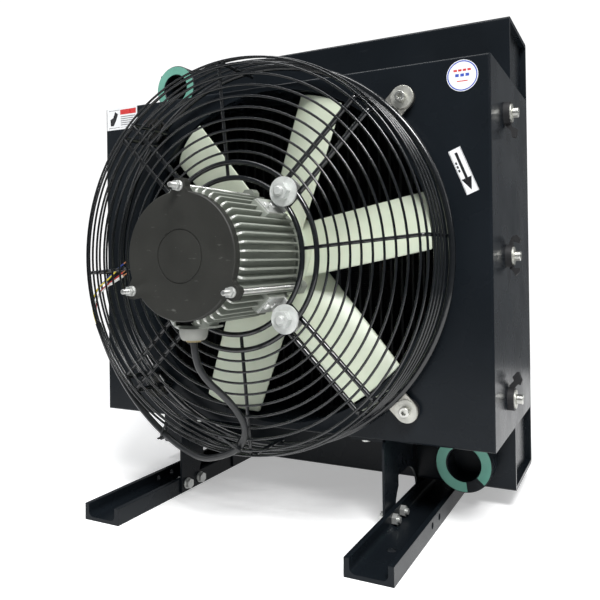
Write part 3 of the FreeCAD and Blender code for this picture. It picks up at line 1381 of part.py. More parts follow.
LAST_RING = d.first_ring + 7 * d.ring_pitch
LOWER_TIE_FIT, SIDE_TIE_FIT = 3.6, 2.4
lower_ring_point = around(-87.2, LAST_RING, d.rod_plane - d.rod_radius - d.ring_wire)
bend_reach = (d.bend_radius + d.wire_radius + d.ring_wire) * math.sin(math.pi / 4)
side_ring_point = around(-115.5, d.side_radius - d.bend_radius + bend_reach,
                         d.rod_plane - d.rod_radius + d.wire_radius + d.bend_radius - bend_reach)
finish_shape("cable_ties", [cable_tie(CABLE_ROUTE[6], CABLE_ROUTE[7], 0.5, lower_ring_point, LOWER_TIE_FIT, 26),
                            cable_tie(CABLE_ROUTE[11], CABLE_ROUTE[12], 0.35, side_ring_point, SIDE_TIE_FIT, 5)])


# ---------------------------------------------------------------- check and write

doc.recompute()
failed = [item.Name for item in doc.Objects if "Invalid" in item.State or "Error" in item.State]
assert not failed, f"failed objects: {failed}"
os.makedirs("parts", exist_ok=True)
for item in sub_parts:
    assert not item.Shape.isNull() and item.Shape.isValid(), f"bad shape: {item.Label}"
for item in sub_parts:
    item.Shape.exportStep(f"parts/{item.Label}.step")
print(f"{len(sub_parts)} sub-parts written")
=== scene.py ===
"""Looks of the air-blast oil cooler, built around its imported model.

Everything is in metres, in the model's frame: X to the object's right as it is seen from the front, Y to its rear,
Z up.
"""
import json
import math

import bpy
from mathutils import Matrix, Vector


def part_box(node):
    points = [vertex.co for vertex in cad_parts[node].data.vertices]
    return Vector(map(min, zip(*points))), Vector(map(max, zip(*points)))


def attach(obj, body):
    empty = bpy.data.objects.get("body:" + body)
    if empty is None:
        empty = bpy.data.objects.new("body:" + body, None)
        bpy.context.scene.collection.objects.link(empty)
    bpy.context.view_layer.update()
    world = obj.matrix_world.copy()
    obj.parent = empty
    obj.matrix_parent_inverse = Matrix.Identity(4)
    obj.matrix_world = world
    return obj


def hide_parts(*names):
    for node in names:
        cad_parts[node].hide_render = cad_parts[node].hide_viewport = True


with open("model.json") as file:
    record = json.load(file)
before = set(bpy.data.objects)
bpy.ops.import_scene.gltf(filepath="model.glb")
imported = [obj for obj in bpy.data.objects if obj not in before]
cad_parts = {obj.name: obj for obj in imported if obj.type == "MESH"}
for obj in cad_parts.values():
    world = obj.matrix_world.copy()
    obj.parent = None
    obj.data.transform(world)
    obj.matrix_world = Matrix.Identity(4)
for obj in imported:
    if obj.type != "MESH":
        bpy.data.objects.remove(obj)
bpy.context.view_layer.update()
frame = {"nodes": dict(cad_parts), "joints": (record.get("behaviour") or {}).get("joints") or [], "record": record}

# The fan's axis crosses the shroud's front face here. Places below are measured from this point.
AXIS = Vector(frame["joints"][0]["pos_m"])
FAN_BODY, FIXED_BODY = "rotor", "frame"
MM = 0.001


def at(x, y, z):
    """A point given from the fan's axis, in the model's frame."""
    return AXIS + Vector((x, y, z))


def around(angle, radius, y):
    """A point on a circle round the fan's axis, its angle counted from +X towards +Z, in degrees."""
    turn = math.radians(angle)
    return at(radius * math.cos(turn), y, radius * math.sin(turn))


# ---------------------------------------------------------------- camera

CAMERA_PLACE = Vector((0.4539, -0.9175, 0.3476))
CAMERA_YAW, CAMERA_PITCH, CAMERA_ROLL = 0.4729, 0.0065, -0.0126
CAMERA_LENS, CAMERA_SHIFT_Y = 39.8, -0.0744


def make_camera():
    ahead = Vector((-math.sin(CAMERA_YAW) * math.cos(CAMERA_PITCH),
                    math.cos(CAMERA_YAW) * math.cos(CAMERA_PITCH), math.sin(CAMERA_PITCH)))
    right = Vector((math.cos(CAMERA_YAW), math.sin(CAMERA_YAW), 0))
    over = right.cross(ahead)
    across = math.cos(CAMERA_ROLL) * right + math.sin(CAMERA_ROLL) * over
    upward = math.cos(CAMERA_ROLL) * over - math.sin(CAMERA_ROLL) * right
    data = bpy.data.cameras.new("camera")
    data.lens = CAMERA_LENS
    data.shift_y = CAMERA_SHIFT_Y
    camera = bpy.data.objects.new("camera", data)
    turn = Matrix((across, upward, -ahead)).transposed()
    camera.matrix_world = Matrix.Translation(CAMERA_PLACE) @ turn.to_4x4()
    bpy.context.scene.collection.objects.link(camera)
    bpy.context.scene.camera = camera


make_camera()


# ---------------------------------------------------------------- materials

class Look:
    """A procedural material under construction, with short ways to add its detail."""

    def __init__(self, name, colour, roughness, metallic=0.0, rounding=0.0, **settings):
        self.material = bpy.data.materials.new(name)
        self.material.use_nodes = True
        self.tree = self.material.node_tree
        self.shader = self.tree.nodes["Principled BSDF"]
        self.shader.inputs["Base Color"].default_value = (*colour, 1)
        self.shader.inputs["Roughness"].default_value = roughness
        self.shader.inputs["Metallic"].default_value = metallic
        for socket, value in settings.items():
            self.shader.inputs[socket.replace("_", " ").title().replace("Ior", "IOR")].default_value = value
        self.place = self.node("ShaderNodeTexCoord").outputs["Object"]
        self.colour = None
        self.normal = None
        if rounding:
            edge = self.node("ShaderNodeBevel")
            edge.inputs["Radius"].default_value = rounding
            self.normal = edge.outputs["Normal"]
            self.link(self.normal, self.shader.inputs["Normal"])
        self.base = colour

    def node(self, kind, **properties):
        made = self.tree.nodes.new(kind)
        for key, value in properties.items():
            setattr(made, key, value)
        return made

    def link(self, source, target):
        self.tree.links.new(source, target)

    def noise(self, scale, detail=3.0, stretch=None):
        """A cloudy value from 0 to 1; scale is in features per metre."""
        texture = self.node("ShaderNodeTexNoise")
        texture.inputs["Scale"].default_value = scale
        texture.inputs["Detail"].default_value = detail
        place = self.place
        if stretch:
            mapping = self.node("ShaderNodeMapping")
            mapping.inputs["Scale"].default_value = stretch
            self.link(place, mapping.inputs["Vector"])
            place = mapping.outputs["Vector"]
        self.link(place, texture.inputs["Vector"])
        return texture.outputs["Fac"]

    def cells(self, scale, feature="F1"):
        """The distance to scattered points; scale is in points per metre."""
        texture = self.node("ShaderNodeTexVoronoi", feature=feature)
        texture.inputs["Scale"].default_value = scale
        self.link(self.place, texture.inputs["Vector"])
        return texture.outputs["Distance"]

    def span(self, value, low, high, to_low=0.0, to_high=1.0):
        """A value's stretch from low to high, spread over another stretch and clamped to it."""
        mapped = self.node("ShaderNodeMapRange")
        for socket, number in zip(("From Min", "From Max", "To Min", "To Max"), (low, high, to_low, to_high)):
            mapped.inputs[socket].default_value = number
        self.link(value, mapped.inputs["Value"])
        return mapped.outputs["Result"]

    def within(self, axis, low, high, soft=0.0004):
        """1 between two heights along an axis (0, 1 or 2) of the fan's frame, 0 outside, with soft ends."""
        parts = self.node("ShaderNodeSeparateXYZ")
        self.link(self.place, parts.inputs["Vector"])
        value = parts.outputs[axis]
        low, high = low + AXIS[axis], high + AXIS[axis]
        above = self.span(value, low - soft, low + soft)
        below = self.span(value, high + soft, high - soft)
        return self.times(above, below)

    def threads(self, pitch, low, high):
        """Fine rings across the fan's axis, for the threads between two depths."""
        wave = self.node("ShaderNodeTexWave", wave_type="BANDS", bands_direction="Y", wave_profile="SIN")
        wave.inputs["Scale"].default_value = math.pi / (10 * pitch)
        self.link(self.place, wave.inputs["Vector"])
        groove = self.times(wave.outputs["Fac"], self.within(1, low, high))
        self.bump(groove, 0.35 * pitch, 1.0)
        return self

    def times(self, first, second):
        product = self.node("ShaderNodeMath", operation="MULTIPLY")
        self.link(first, product.inputs[0])
        self.link(second, product.inputs[1])
        return product.outputs[0]

    def tint(self, share, colour):
        """Moves the base colour towards another one, by a share."""
        blend = self.node("ShaderNodeMix", data_type="RGBA")
        self.link(share, blend.inputs["Factor"])
        if self.colour is None:
            blend.inputs[6].default_value = (*self.base, 1)
        else:
            self.link(self.colour, blend.inputs[6])
        blend.inputs[7].default_value = (*colour, 1)
        self.colour = blend.outputs[2]
        self.link(self.colour, self.shader.inputs["Base Color"])
        return self

    def rough(self, value, low, high):
        self.link(self.span(value, 0.3, 0.7, low, high), self.shader.inputs["Roughness"])
        return self

    def bump(self, height, depth, strength=1.0):
        """Raises the surface by up to a depth in metres."""
        relief = self.node("ShaderNodeBump")
        relief.inputs["Strength"].default_value = strength
        relief.inputs["Distance"].default_value = depth
        self.link(height, relief.inputs["Height"])
        if self.normal is not None:
            self.link(self.normal, relief.inputs["Normal"])
        self.normal = relief.outputs["Normal"]
        self.link(self.normal, self.shader.inputs["Normal"])
        return self


DUST = (0.05, 0.055, 0.062)


def powder_coat(name, colour, rough_low, rough_high, rounding, gloss=0.5):
    """Semi-gloss powder coat: a faint orange peel, clouded gloss, dust specks and a few rubbed streaks."""
    look = Look(name, colour, rough_low, rounding=rounding, specular_ior_level=gloss)
    cloud = look.noise(9, 4)
    look.tint(look.span(cloud, 0.35, 0.75, 0.0, 0.5), tuple(1.7 * c for c in colour))
    look.tint(look.span(look.cells(170), 0.045, 0.02, 0.0, 0.7), DUST)
    look.tint(look.span(look.noise(30, 6, (1, 1, 6)), 0.68, 0.82, 0.0, 0.12), DUST)
    look.rough(look.noise(14, 5), rough_low, rough_high)
    look.bump(look.noise(420, 2), 0.00012, 0.3)
    return look.material


# The fasteners at the shroud's left are darkened with painted shade, the shade of the guard in front of them.
SHADED_LEFT_SIDE, PAINTED_SHADE = (-0.23, -0.16), (0.022, 0.022, 0.02)


def dipped_wire():
    """Thick glossy coating on wire, with slow lumps where it ran."""
    look = Look("guard_black", (0.004, 0.005, 0.0062), 0.16, specular_ior_level=0.6)
    look.rough(look.noise(60, 3), 0.13, 0.22)
    look.tint(look.span(look.cells(300), 0.06, 0.03, 0.0, 0.4), DUST)
    look.bump(look.noise(130, 2), 0.0004, 0.3)
    return look.material


def zinc(name, colour, rough=(0.28, 0.42), pitch=None, low=0.0, high=0.0, metallic=1.0, shaded=False):
    """Plated steel, a little clouded, with fine machining marks, and threads or painted shade on the shroud's left
    side where asked for.
    """
    look = Look(name, colour, rough[0], metallic=metallic, rounding=0.0005)
    look.tint(look.span(look.noise(90, 5), 0.4, 0.7, 0.0, 0.55), tuple(0.66 * c for c in colour))
    look.tint(look.span(look.noise(240, 6), 0.6, 0.75, 0.0, 0.5), tuple(0.5 * c for c in colour))
    look.rough(look.noise(160, 4), *rough)
    look.bump(look.noise(1400, 2), 0.00006, 0.4)
    if pitch:
        look.threads(pitch, low, high)
    if shaded:
        # Painted shade: the fasteners on the shroud's left side are darkened.
        look.tint(look.within(0, *SHADED_LEFT_SIDE), PAINTED_SHADE)
    return look.material


# Where the fins' front ends, lit with a painted highlight, and the hollow of the motor's terminal boss lie, from
# the fan's axis.
FIN_HIGHLIGHT_BAND = (-0.1965, -0.1925)
BOSS_WINDOW = ((-0.0197, 0.0062), (-0.1888, -0.178), (-0.0792, -0.069))


def motor_paint():
    """Grey paint on the finned casting, with a painted highlight on the fins' front ends and a dark window in the
    terminal boss.
    """
    look = Look("motor_grey", (0.27, 0.29, 0.255), 0.5, rounding=0.0006)
    look.tint(look.span(look.noise(22, 5), 0.35, 0.7, 0.0, 0.6), (0.2, 0.215, 0.185))
    look.tint(look.span(look.noise(60, 6, (1, 5, 1)), 0.6, 0.75, 0.0, 0.4), (0.36, 0.375, 0.34))
    look.tint(look.span(look.cells(330), 0.05, 0.02, 0.0, 0.5), (0.5, 0.5, 0.47))
    # Painted highlight: a pale band round the fins' front ends, where their chamfers catch the light.
    look.tint(look.within(1, *FIN_HIGHLIGHT_BAND), (0.68, 0.69, 0.65))
    across, along, upward = (look.within(axis, *reach) for axis, reach in enumerate(BOSS_WINDOW))
    look.tint(look.times(look.times(across, upward), along), (0.004, 0.004, 0.004))
    look.rough(look.noise(40, 4), 0.42, 0.56)
    look.bump(look.noise(900, 3), 0.0002, 0.4)
    return look.material


def cap_paint():
    """Matt charcoal paint on the motor's cap, with scuffs, pits and a grey bloom."""
    look = Look("cap_charcoal", (0.0125, 0.0128, 0.0105), 0.55, rounding=0.0007, specular_ior_level=0.4)
    look.tint(look.span(look.noise(16, 6), 0.4, 0.75, 0.0, 0.7), (0.021, 0.0215, 0.018))
    look.tint(look.span(look.cells(95), 0.03, 0.012, 0.0, 0.9), (0.3, 0.3, 0.28))
    look.tint(look.span(look.cells(420), 0.16, 0.06, 0.0, 0.35), (0.06, 0.06, 0.055))
    look.tint(look.span(look.noise(70, 8, (1, 1, 3)), 0.68, 0.78, 0.0, 0.5), (0.14, 0.14, 0.13))
    look.rough(look.noise(35, 4), 0.48, 0.7)
    look.bump(look.noise(700, 3), 0.00018, 0.5)
    return look.material


def moulded(name, colour, rough_low, rough_high, shade, **settings):
    """Moulded plastic with slow tone changes and a satin skin."""
    look = Look(name, colour, rough_low, rounding=0.0006, **settings)
    look.tint(look.span(look.noise(12, 3), 0.35, 0.7, 0.0, 0.6), shade)
    look.rough(look.noise(50, 4), rough_low, rough_high)
    look.bump(look.noise(300, 2), 0.0001, 0.25)
    return look.material


GLAND_RIM = (-0.0985, -0.0952)


def gland_plastic():
    """Grey moulded bowl, yellowed round its lower rim where sealant has oozed out."""
    look = Look("gland_grey", (0.22, 0.225, 0.205), 0.42, rounding=0.0006)
    look.tint(look.span(look.noise(70, 4), 0.4, 0.7, 0.0, 0.5), (0.16, 0.165, 0.15))
    look.tint(look.within(2, *GLAND_RIM, 0.0008), (0.27, 0.22, 0.11))
    look.rough(look.noise(50, 4), 0.4, 0.55)
    look.bump(look.noise(500, 3), 0.0002, 0.4)
    return look.material


def rubber(name, colour, rough_low, rough_high):
    """Dull black rubber with a pale bloom."""
    look = Look(name, colour, rough_low)
    look.tint(look.span(look.noise(60, 5), 0.45, 0.75, 0.0, 0.5), tuple(2 * c for c in colour))
    look.rough(look.noise(90, 4), rough_low, rough_high)
    look.bump(look.noise(800, 3), 0.0001, 0.4)
    return look.material


def print_ink(name, colour):
    """Flat print or paper, faintly uneven."""
    look = Look(name, colour, 0.3)
    look.tint(look.span(look.noise(300, 4), 0.5, 0.8, 0.0, 0.3), tuple(0.8 * c for c in colour))
    look.rough(look.noise(200, 2), 0.25, 0.4)
    return look.material


def laminations():
    """Stacked electrical sheet: fine lines across the stack."""
    look = Look("lamination_steel", (0.2, 0.2, 0.21), 0.5, metallic=0.7)
    lines = look.noise(60, 2, (0.02, 60, 0.02))
    look.tint(look.span(lines, 0.4, 0.6), (0.08, 0.08, 0.085))
    look.bump(lines, 0.0003, 0.6)
    return look.material


STUD_FRONT, STUD_REAR, STUD_PITCH = -0.225, -0.037, 0.001
CLAMP_TIP, CLAMP_NUT, CLAMP_PITCH = -0.1205, -0.1158, 0.00175
LOOKS = {
    "black_coat": powder_coat("black_coat", (0.0062, 0.0082, 0.0106), 0.22, 0.32, 0.0008, 0.13),
    "tank_coat": powder_coat("tank_coat", (0.0055, 0.0074, 0.0096), 0.22, 0.34, 0.0008, 0.13),
    "core_black": powder_coat("core_black", (0.003, 0.0038, 0.0046), 0.5, 0.65, 0.0003, 0.25),
    "mask_green": moulded("mask_green", (0.17, 0.42, 0.33), 0.5, 0.7, (0.05, 0.22, 0.17)),
    "guard_black": dipped_wire(),
    "zinc_steel": zinc("zinc_steel", (0.64, 0.65, 0.63), metallic=0.65),
    "strap_steel": zinc("strap_steel", (0.56, 0.55, 0.5), (0.32, 0.5), shaded=True),
    "black_rubber": rubber("black_rubber", (0.006, 0.006, 0.007), 0.55, 0.75),
    "motor_grey": motor_paint(),
    "cap_charcoal": cap_paint(),
    "lamination_steel": laminations(),
    "copper": zinc("copper", (0.75, 0.33, 0.16), (0.25, 0.4)),
    "machined_steel": zinc("machined_steel", (0.6, 0.6, 0.6), (0.15, 0.3)),
    "fan_green": moulded("fan_green", (0.66, 0.71, 0.57), 0.28, 0.38, (0.61, 0.665, 0.51),
                         subsurface_weight=0.03),
    "gland_grey": gland_plastic(),
    "cable_black": rubber("cable_black", (0.0055, 0.0064, 0.0075), 0.3, 0.42),
    "wire_blue": moulded("wire_blue", (0.02, 0.05, 0.3), 0.25, 0.35, (0.015, 0.04, 0.22)),
    "wire_yellow": moulded("wire_yellow", (0.75, 0.6, 0.04), 0.25, 0.35, (0.6, 0.48, 0.04)),
    "wire_red": moulded("wire_red", (0.6, 0.03, 0.03), 0.25, 0.35, (0.5, 0.02, 0.03)),
    "wire_white": moulded("wire_white", (0.75, 0.75, 0.72), 0.3, 0.4, (0.65, 0.65, 0.62)),
    "label_paper": print_ink("label_paper", (0.78, 0.79, 0.8)),
    "ink_black": print_ink("ink_black", (0.01, 0.01, 0.012)),
    "ink_red": print_ink("ink_red", (0.55, 0.03, 0.03)),
    "ink_blue": print_ink("ink_blue", (0.04, 0.08, 0.42)),
    "ink_grey": print_ink("ink_grey", (0.16, 0.16, 0.17)),
}
SPECIAL_LOOKS = {
    "tie_studs": zinc("zinc_stud", (0.66, 0.66, 0.64), pitch=STUD_PITCH, low=STUD_FRONT, high=STUD_REAR),
    "clamp_bolts": zinc("zinc_bolt", (0.6, 0.62, 0.6), (0.3, 0.4), CLAMP_PITCH, CLAMP_TIP, CLAMP_NUT,
                        metallic=0.35),
    "clamp_washers": zinc("zinc_disc", (0.62, 0.64, 0.62), (0.42, 0.55), metallic=0.3),
    "shroud_cap_screws": zinc("zinc_screw", (0.66, 0.66, 0.62), (0.26, 0.4), shaded=True),
    "shroud_washers": zinc("zinc_washer", (0.6, 0.6, 0.55), (0.35, 0.5), metallic=0.8, shaded=True),
}
for row in frame["record"]["subparts"]:
    node = frame["nodes"][row["node"]]
    node.data.materials.clear()
    node.data.materials.append(SPECIAL_LOOKS.get(row["node"], LOOKS[row["material_slot"]]))


# ---------------------------------------------------------------- pieces: helpers

def add_piece(name, data, slot, body=FIXED_BODY, replaces=()):
    """Puts finished mesh or curve data in the scene, on a body, with its finish."""
    piece = bpy.data.objects.new(name, data)
    bpy.context.scene.collection.objects.link(piece)
    if slot:
        data.materials.append(LOOKS[slot])
    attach(piece, body)
    if replaces:
        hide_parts(*replaces)
    return piece


def mesh_from(name, points, faces, smooth=True):
    data = bpy.data.meshes.new(name)
    data.from_pydata([tuple(p) for p in points], [], faces)
    data.validate()
    if smooth:
        data.shade_smooth()
    return data


# ---------------------------------------------------------------- cords

def cord_curve(name, route, diameter, slot, replaces):
    """A round cord on one smooth line, whose control points are the route."""
    data = bpy.data.curves.new(name, "CURVE")
    data.dimensions = "3D"
    data.bevel_depth = diameter / 2
    data.bevel_resolution = 5
    data.use_fill_caps = True
    spline = data.splines.new("NURBS")
    spline.points.add(len(route) - 1)
    for point, place in zip(spline.points, route):
        point.co = (*at(*place), 1)
    spline.order_u = 3
    spline.use_endpoint_u = True
    spline.resolution_u = 12
    return add_piece(name, data, slot, replaces=replaces)


CABLE_DIAMETER, LEAD_DIAMETER = 0.0082, 0.0022
CABLE_ROUTE = [
    (0, -0.182, -0.0975), (0.001, -0.181, -0.120), (0.009, -0.171, -0.143), (0.019, -0.151, -0.163),
    (0.026, -0.134, -0.183), (0.029, -0.120, -0.204), (0.022, -0.111, -0.225), (0.006, -0.108, -0.241),
    (-0.018, -0.107, -0.251), (-0.043, -0.104, -0.2575), (-0.070, -0.100, -0.2535), (-0.104, -0.095, -0.2415),
    (-0.139, -0.089, -0.223), (-0.174, -0.084, -0.197), (-0.205, -0.080, -0.165), (-0.229, -0.078, -0.130),
    (-0.2455, -0.078, -0.094)]
LEAD_ROUTES = {
    "blue": (0.1152, [(-0.2469, -0.0765, -0.0946), (-0.254, -0.0765, -0.0791), (-0.2575, -0.075, -0.061),
                      (-0.2505, -0.0735, -0.044), (-0.235, -0.073, -0.0315), (-0.217, -0.073, -0.0185),
                      (-0.200, -0.074, -0.008)]),
    "yellow": (0.1022, [(-0.2469, -0.0795, -0.0946), (-0.254, -0.0795, -0.0791), (-0.2565, -0.0775, -0.060),
                        (-0.248, -0.075, -0.0425), (-0.233, -0.0755, -0.0335), (-0.220, -0.076, -0.0245),
                        (-0.209, -0.0765, -0.016)]),
    "red": (0.0996, [(-0.2441, -0.0765, -0.0934), (-0.2512, -0.0765, -0.0779), (-0.254, -0.0725, -0.061),
                     (-0.2455, -0.0715, -0.046), (-0.231, -0.071, -0.0365), (-0.216, -0.071, -0.0285),
                     (-0.204, -0.0715, -0.0205)]),
    "white": (0.0703, [(-0.2441, -0.0795, -0.0934), (-0.2512, -0.0795, -0.0779), (-0.2525, -0.0755, -0.061),
                       (-0.2402, -0.0739, -0.0452), (-0.225, -0.0743, -0.0376)]),
}

cable = cord_curve("motor_cable_sheath", CABLE_ROUTE, CABLE_DIAMETER, "cable_black", ["motor_cable"])
for colour, (length, route) in LEAD_ROUTES.items():
    lead = cord_curve(f"lead_{colour}_insulation", route, LEAD_DIAMETER, f"wire_{colour}", [f"lead_{colour}"])


# ---------------------------------------------------------------- fan

HUB_RADIUS, TIP_RADIUS = 0.063, 0.227
BLADE_COUNT, FIRST_BLADE = 6, 11
ROOT_CHORD, TIP_CHORD = 0.089, 0.080
ROOT_STAGGER, TIP_STAGGER = 30, 18
BLADE_MIDDLE, BLADE_CAMBER = 0.013, 0.005
ROOT_THICKNESS, TIP_THICKNESS = 0.004, 0.003
TIP_CORNER, ROOT_FILLET, ROOT_SWELL = 0.002, 0.006, 0.0022
SECTION_STEPS, SECTION_FULLNESS = 18, 0.45
TIP_THINNING = 0.75
SPAN_ROWS, TIP_ROWS = 26, 7


def blade_row(radius):
    """One ring of points round the blade's section, on the cylinder of that radius."""
    share = (radius - HUB_RADIUS) / (TIP_RADIUS - HUB_RADIUS)
    chord = ROOT_CHORD + share * (TIP_CHORD - ROOT_CHORD)
    stagger = math.radians(ROOT_STAGGER + share * (TIP_STAGGER - ROOT_STAGGER))
    half = (ROOT_THICKNESS + share * (TIP_THICKNESS - ROOT_THICKNESS)) / 2
    half += ROOT_SWELL * math.exp(-max(0, radius - HUB_RADIUS) / ROOT_FILLET)
    past = max(0, radius - (TIP_RADIUS - TIP_CORNER)) / TIP_CORNER
    rounded = TIP_CORNER * (1 - math.sqrt(max(0, 1 - past * past)))
    half *= 1 - TIP_THINNING * past ** 4
    row = []
    for side in (-1, 1):
        for step in range(SECTION_STEPS):
            turn = math.pi * step / SECTION_STEPS
            run = -math.cos(turn) * side * (chord / 2 - rounded)
            bow = BLADE_CAMBER * (1 - (2 * run / chord) ** 2)
            rise = -side * half * math.sin(turn) ** SECTION_FULLNESS - bow
            tangent = run * math.cos(stagger) - rise * math.sin(stagger)
            depth = run * math.sin(stagger) + rise * math.cos(stagger)
            outward = math.sqrt(max(0, radius ** 2 - tangent ** 2))
            row.append(Vector((outward, BLADE_MIDDLE + depth, tangent)))
    return row


def fan_blades():
    """Six moulded blades with rounded edges, tips and roots."""
    reach = TIP_RADIUS - TIP_CORNER - HUB_RADIUS
    radii = [HUB_RADIUS - MM + reach * (step / SPAN_ROWS) ** 1.5 for step in range(SPAN_ROWS + 1)]
    radii += [TIP_RADIUS - TIP_CORNER * (1 - math.sin(math.pi / 2 * step / TIP_ROWS))
              for step in range(1, TIP_ROWS + 1)]
    points, faces = [], []
    for index in range(BLADE_COUNT):
        turn = Matrix.Rotation(-math.radians(FIRST_BLADE + index * 360 / BLADE_COUNT), 4, "Y")
        start = len(points)
        rows = [blade_row(radius) for radius in radii]
        count = len(rows[0])
        for row in rows:
            points += [AXIS + turn @ point for point in row]
        for ring in range(len(rows) - 1):
            for step in range(count):
                a = start + ring * count + step
                b = start + ring * count + (step + 1) % count
                faces.append((a, b, b + count, a + count))
        faces.append(tuple(range(start + count - 1, start - 1, -1)))
        last = start + (len(rows) - 1) * count
        faces.append(tuple(range(last, last + count)))
    add_piece("fan_blade_set", mesh_from("fan_blade_set", points, faces), "fan_green", FAN_BODY, ["fan_blades"])


fan_blades()


# ---------------------------------------------------------------- core

TUBE_COUNT, TUBE_THICKNESS = 34, 0.0036
FOLD_PITCH, FOIL = 0.0032, 0.00025


def fin_corrugation():
    """The air side's fine corrugated foil, one folded strip between each pair of oil tubes."""
    low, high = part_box("air_fins")
    gap = (high.x - low.x - TUBE_COUNT * TUBE_THICKNESS) / (TUBE_COUNT + 1)
    folds = int((high.z - low.z) / (FOLD_PITCH / 2))
    rise = (high.z - low.z - FOIL) / folds
    points, faces = [], []
    for index in range(TUBE_COUNT + 1):
        left = low.x + index * (gap + TUBE_THICKNESS)
        start = len(points)
        for step in range(folds + 1):
            x = left if step % 2 == 0 else left + gap
            z = low.z + step * rise
            for y in (low.y, high.y):
                points += [(x, y, z), (x, y, z + FOIL)]
        for step in range(folds):
            a = start + step * 4
            b = a + 4
            faces += [(a, b, b + 2, a + 2), (a + 1, a + 3, b + 3, b + 1), (a, a + 1, b + 1, b),
                      (a + 2, b + 2, b + 3, a + 3)]
        end = start + folds * 4
        faces += [(start, start + 2, start + 3, start + 1), (end, end + 1, end + 3, end + 2)]
    data = mesh_from("fin_corrugation", points, faces, smooth=False)
    add_piece("fin_corrugation", data, "core_black", replaces=["air_fins"])


fin_corrugation()


# ---------------------------------------------------------------- printing on the labels: nothing can be read

PRINT_FACE = -0.00034


def printed(name, slot, shapes):
    """Flat shapes just in front of a label; each shape is a list of (x, z) corners from the fan's axis."""
    points, faces = [], []
    for shape in shapes:
        start = len(points)
        points += [at(x, PRINT_FACE, z) for x, z in shape]
        faces.append(tuple(range(start, start + len(shape))))
    add_piece(name, mesh_from(name, points, faces, smooth=False), slot)


def bar(x, z, width, height):
    """A rectangle from its lower left corner."""
    return [(x, z), (x + width, z), (x + width, z + height), (x, z + height)]


def turned_shape(shape, centre, lean):
    """Leans a shape drawn upright round (0, 0), then moves it to a centre."""
    cosine, sine = math.cos(math.radians(lean)), math.sin(math.radians(lean))
    return [(centre[0] + x * cosine + z * sine, centre[1] - x * sine + z * cosine) for x, z in shape]


# The warning label's lower left corner, the round label's middle, and the arrow label's middle and lean.
WARNING_LEFT, WARNING_LOW = -0.2965, 0.2035
ROUND_MIDDLE, ROUND_RADIUS, ROUND_LINE, ROUND_STEPS = (0.267, 0.214), 0.0182, 0.0014, 48
ARROW_MIDDLE, ARROW_LEAN = (0.2669, 0.0993), -22.4
THIN_LINE = 0.0006


def warning_prints():
    """A framed, plain shape at the left; a red band and plain bars at the right."""
    left, low = WARNING_LEFT, WARNING_LOW
    frame_left, frame_right, frame_low, frame_high = left + 0.003, left + 0.025, low + 0.0025, low + 0.0305
    shape = [(0.007, 0.006), (0.013, 0.006), (0.018, 0.014), (0.022, 0.024), (0.016, 0.028), (0.012, 0.019),
             (0.006, 0.016)]
    printed("warning_panel", "ink_grey", [bar(left + 0.0265, low + 0.0025, 0.0315, 0.0005)])
    printed("warning_frame", "ink_black", [
        [(frame_left, frame_low), (frame_right, frame_low), (frame_right, frame_low + THIN_LINE),
         (frame_left, frame_low + THIN_LINE)],
        [(frame_left, frame_high - THIN_LINE), (frame_right, frame_high - THIN_LINE), (frame_right, frame_high),
         (frame_left, frame_high)],
        [(left + x, low + z) for x, z in shape]])
    printed("warning_band", "ink_red", [bar(left + 0.0265, low + 0.0225, 0.0315, 0.008)])
    lines = [bar(left + 0.0275, low + 0.0185 - 0.0032 * row, 0.029 - 0.004 * (row % 2), 0.0013)
             for row in range(5)]
    printed("warning_lines", "ink_grey", lines)


def round_prints():
    """A ring, two rows of small blocks and a bar."""
    x, z = ROUND_MIDDLE
    ring = []
    for step in range(ROUND_STEPS):
        start, end = (2 * math.pi * (step + k) / ROUND_STEPS for k in (0, 1))
        inner = ROUND_RADIUS - ROUND_LINE
        corners = ((ROUND_RADIUS, start), (ROUND_RADIUS, end), (inner, end), (inner, start))
        ring.append([(x + radius * math.cos(turn), z + radius * math.sin(turn)) for radius, turn in corners])
    blocks = [bar(x - 0.0085 + 0.0062 * step, z - 0.0012, 0.0044, 0.0036) for step in range(3)]
    printed("round_ring", "ink_blue", ring + blocks)
    blocks = [bar(x - 0.0105 + 0.0056 * step, z + 0.0052, 0.0042, 0.0026) for step in range(4)]
    printed("round_bars", "ink_red", blocks + [bar(x - 0.0065, z - 0.0072, 0.013, 0.0012)])


def arrow_prints():
    """An arrow that points the way the fan turns, three marks beside it and a line along each long side."""
    arrow = [(-0.0017, 0.024), (0.0017, 0.024), (0.0017, -0.0095), (0.0064, -0.0095), (0, -0.0255),
             (-0.0064, -0.0095), (-0.0017, -0.0095)]
    marks = [bar(-0.0058, 0.010 - 0.005 * row, 0.0022, 0.0032) for row in range(3)]
    edges = [bar(x, -0.0285, 0.0004, 0.057) for x in (-0.0074, 0.0070)]
    shapes = [turned_shape(shape, ARROW_MIDDLE, ARROW_LEAN) for shape in [arrow] + marks + edges]
    printed("arrow_mark", "ink_black", shapes)


warning_prints()
round_prints()
arrow_prints()


# ---------------------------------------------------------------- welds of the guard

FIRST_RING, RING_PITCH, RING_COUNT = 0.1315, 0.0138, 9
RING_BACK, ROD_SPREAD, WIRE_TURN = -0.0961, 0.012, 4.8
HUB_RINGS = (0.0983, 0.1177)
HUB_LUMP, RING_LUMP = 0.0026, 0.0021
LUMP_ROWS, LUMP_COLUMNS, LUMP_FLATNESS = 5, 8, 0.7


def weld_lump(points, faces, centre, size):
    """A low-polygon lump: a small ball flattened along the fan's axis."""
    start = len(points)
    for row in range(LUMP_ROWS + 1):
        polar = math.pi * row / LUMP_ROWS
        girth, depth = size * math.sin(polar), LUMP_FLATNESS * size * math.cos(polar)
        for column in range(LUMP_COLUMNS):
            turn = 2 * math.pi * column / LUMP_COLUMNS
            points.append(centre + Vector((girth * math.cos(turn), depth, girth * math.sin(turn))))
    for row in range(LUMP_ROWS):
        for column in range(LUMP_COLUMNS):
            near = start + row * LUMP_COLUMNS
            far = near + LUMP_COLUMNS
            after = (column + 1) % LUMP_COLUMNS
            faces.append((near + column, far + column, far + after, near + after))


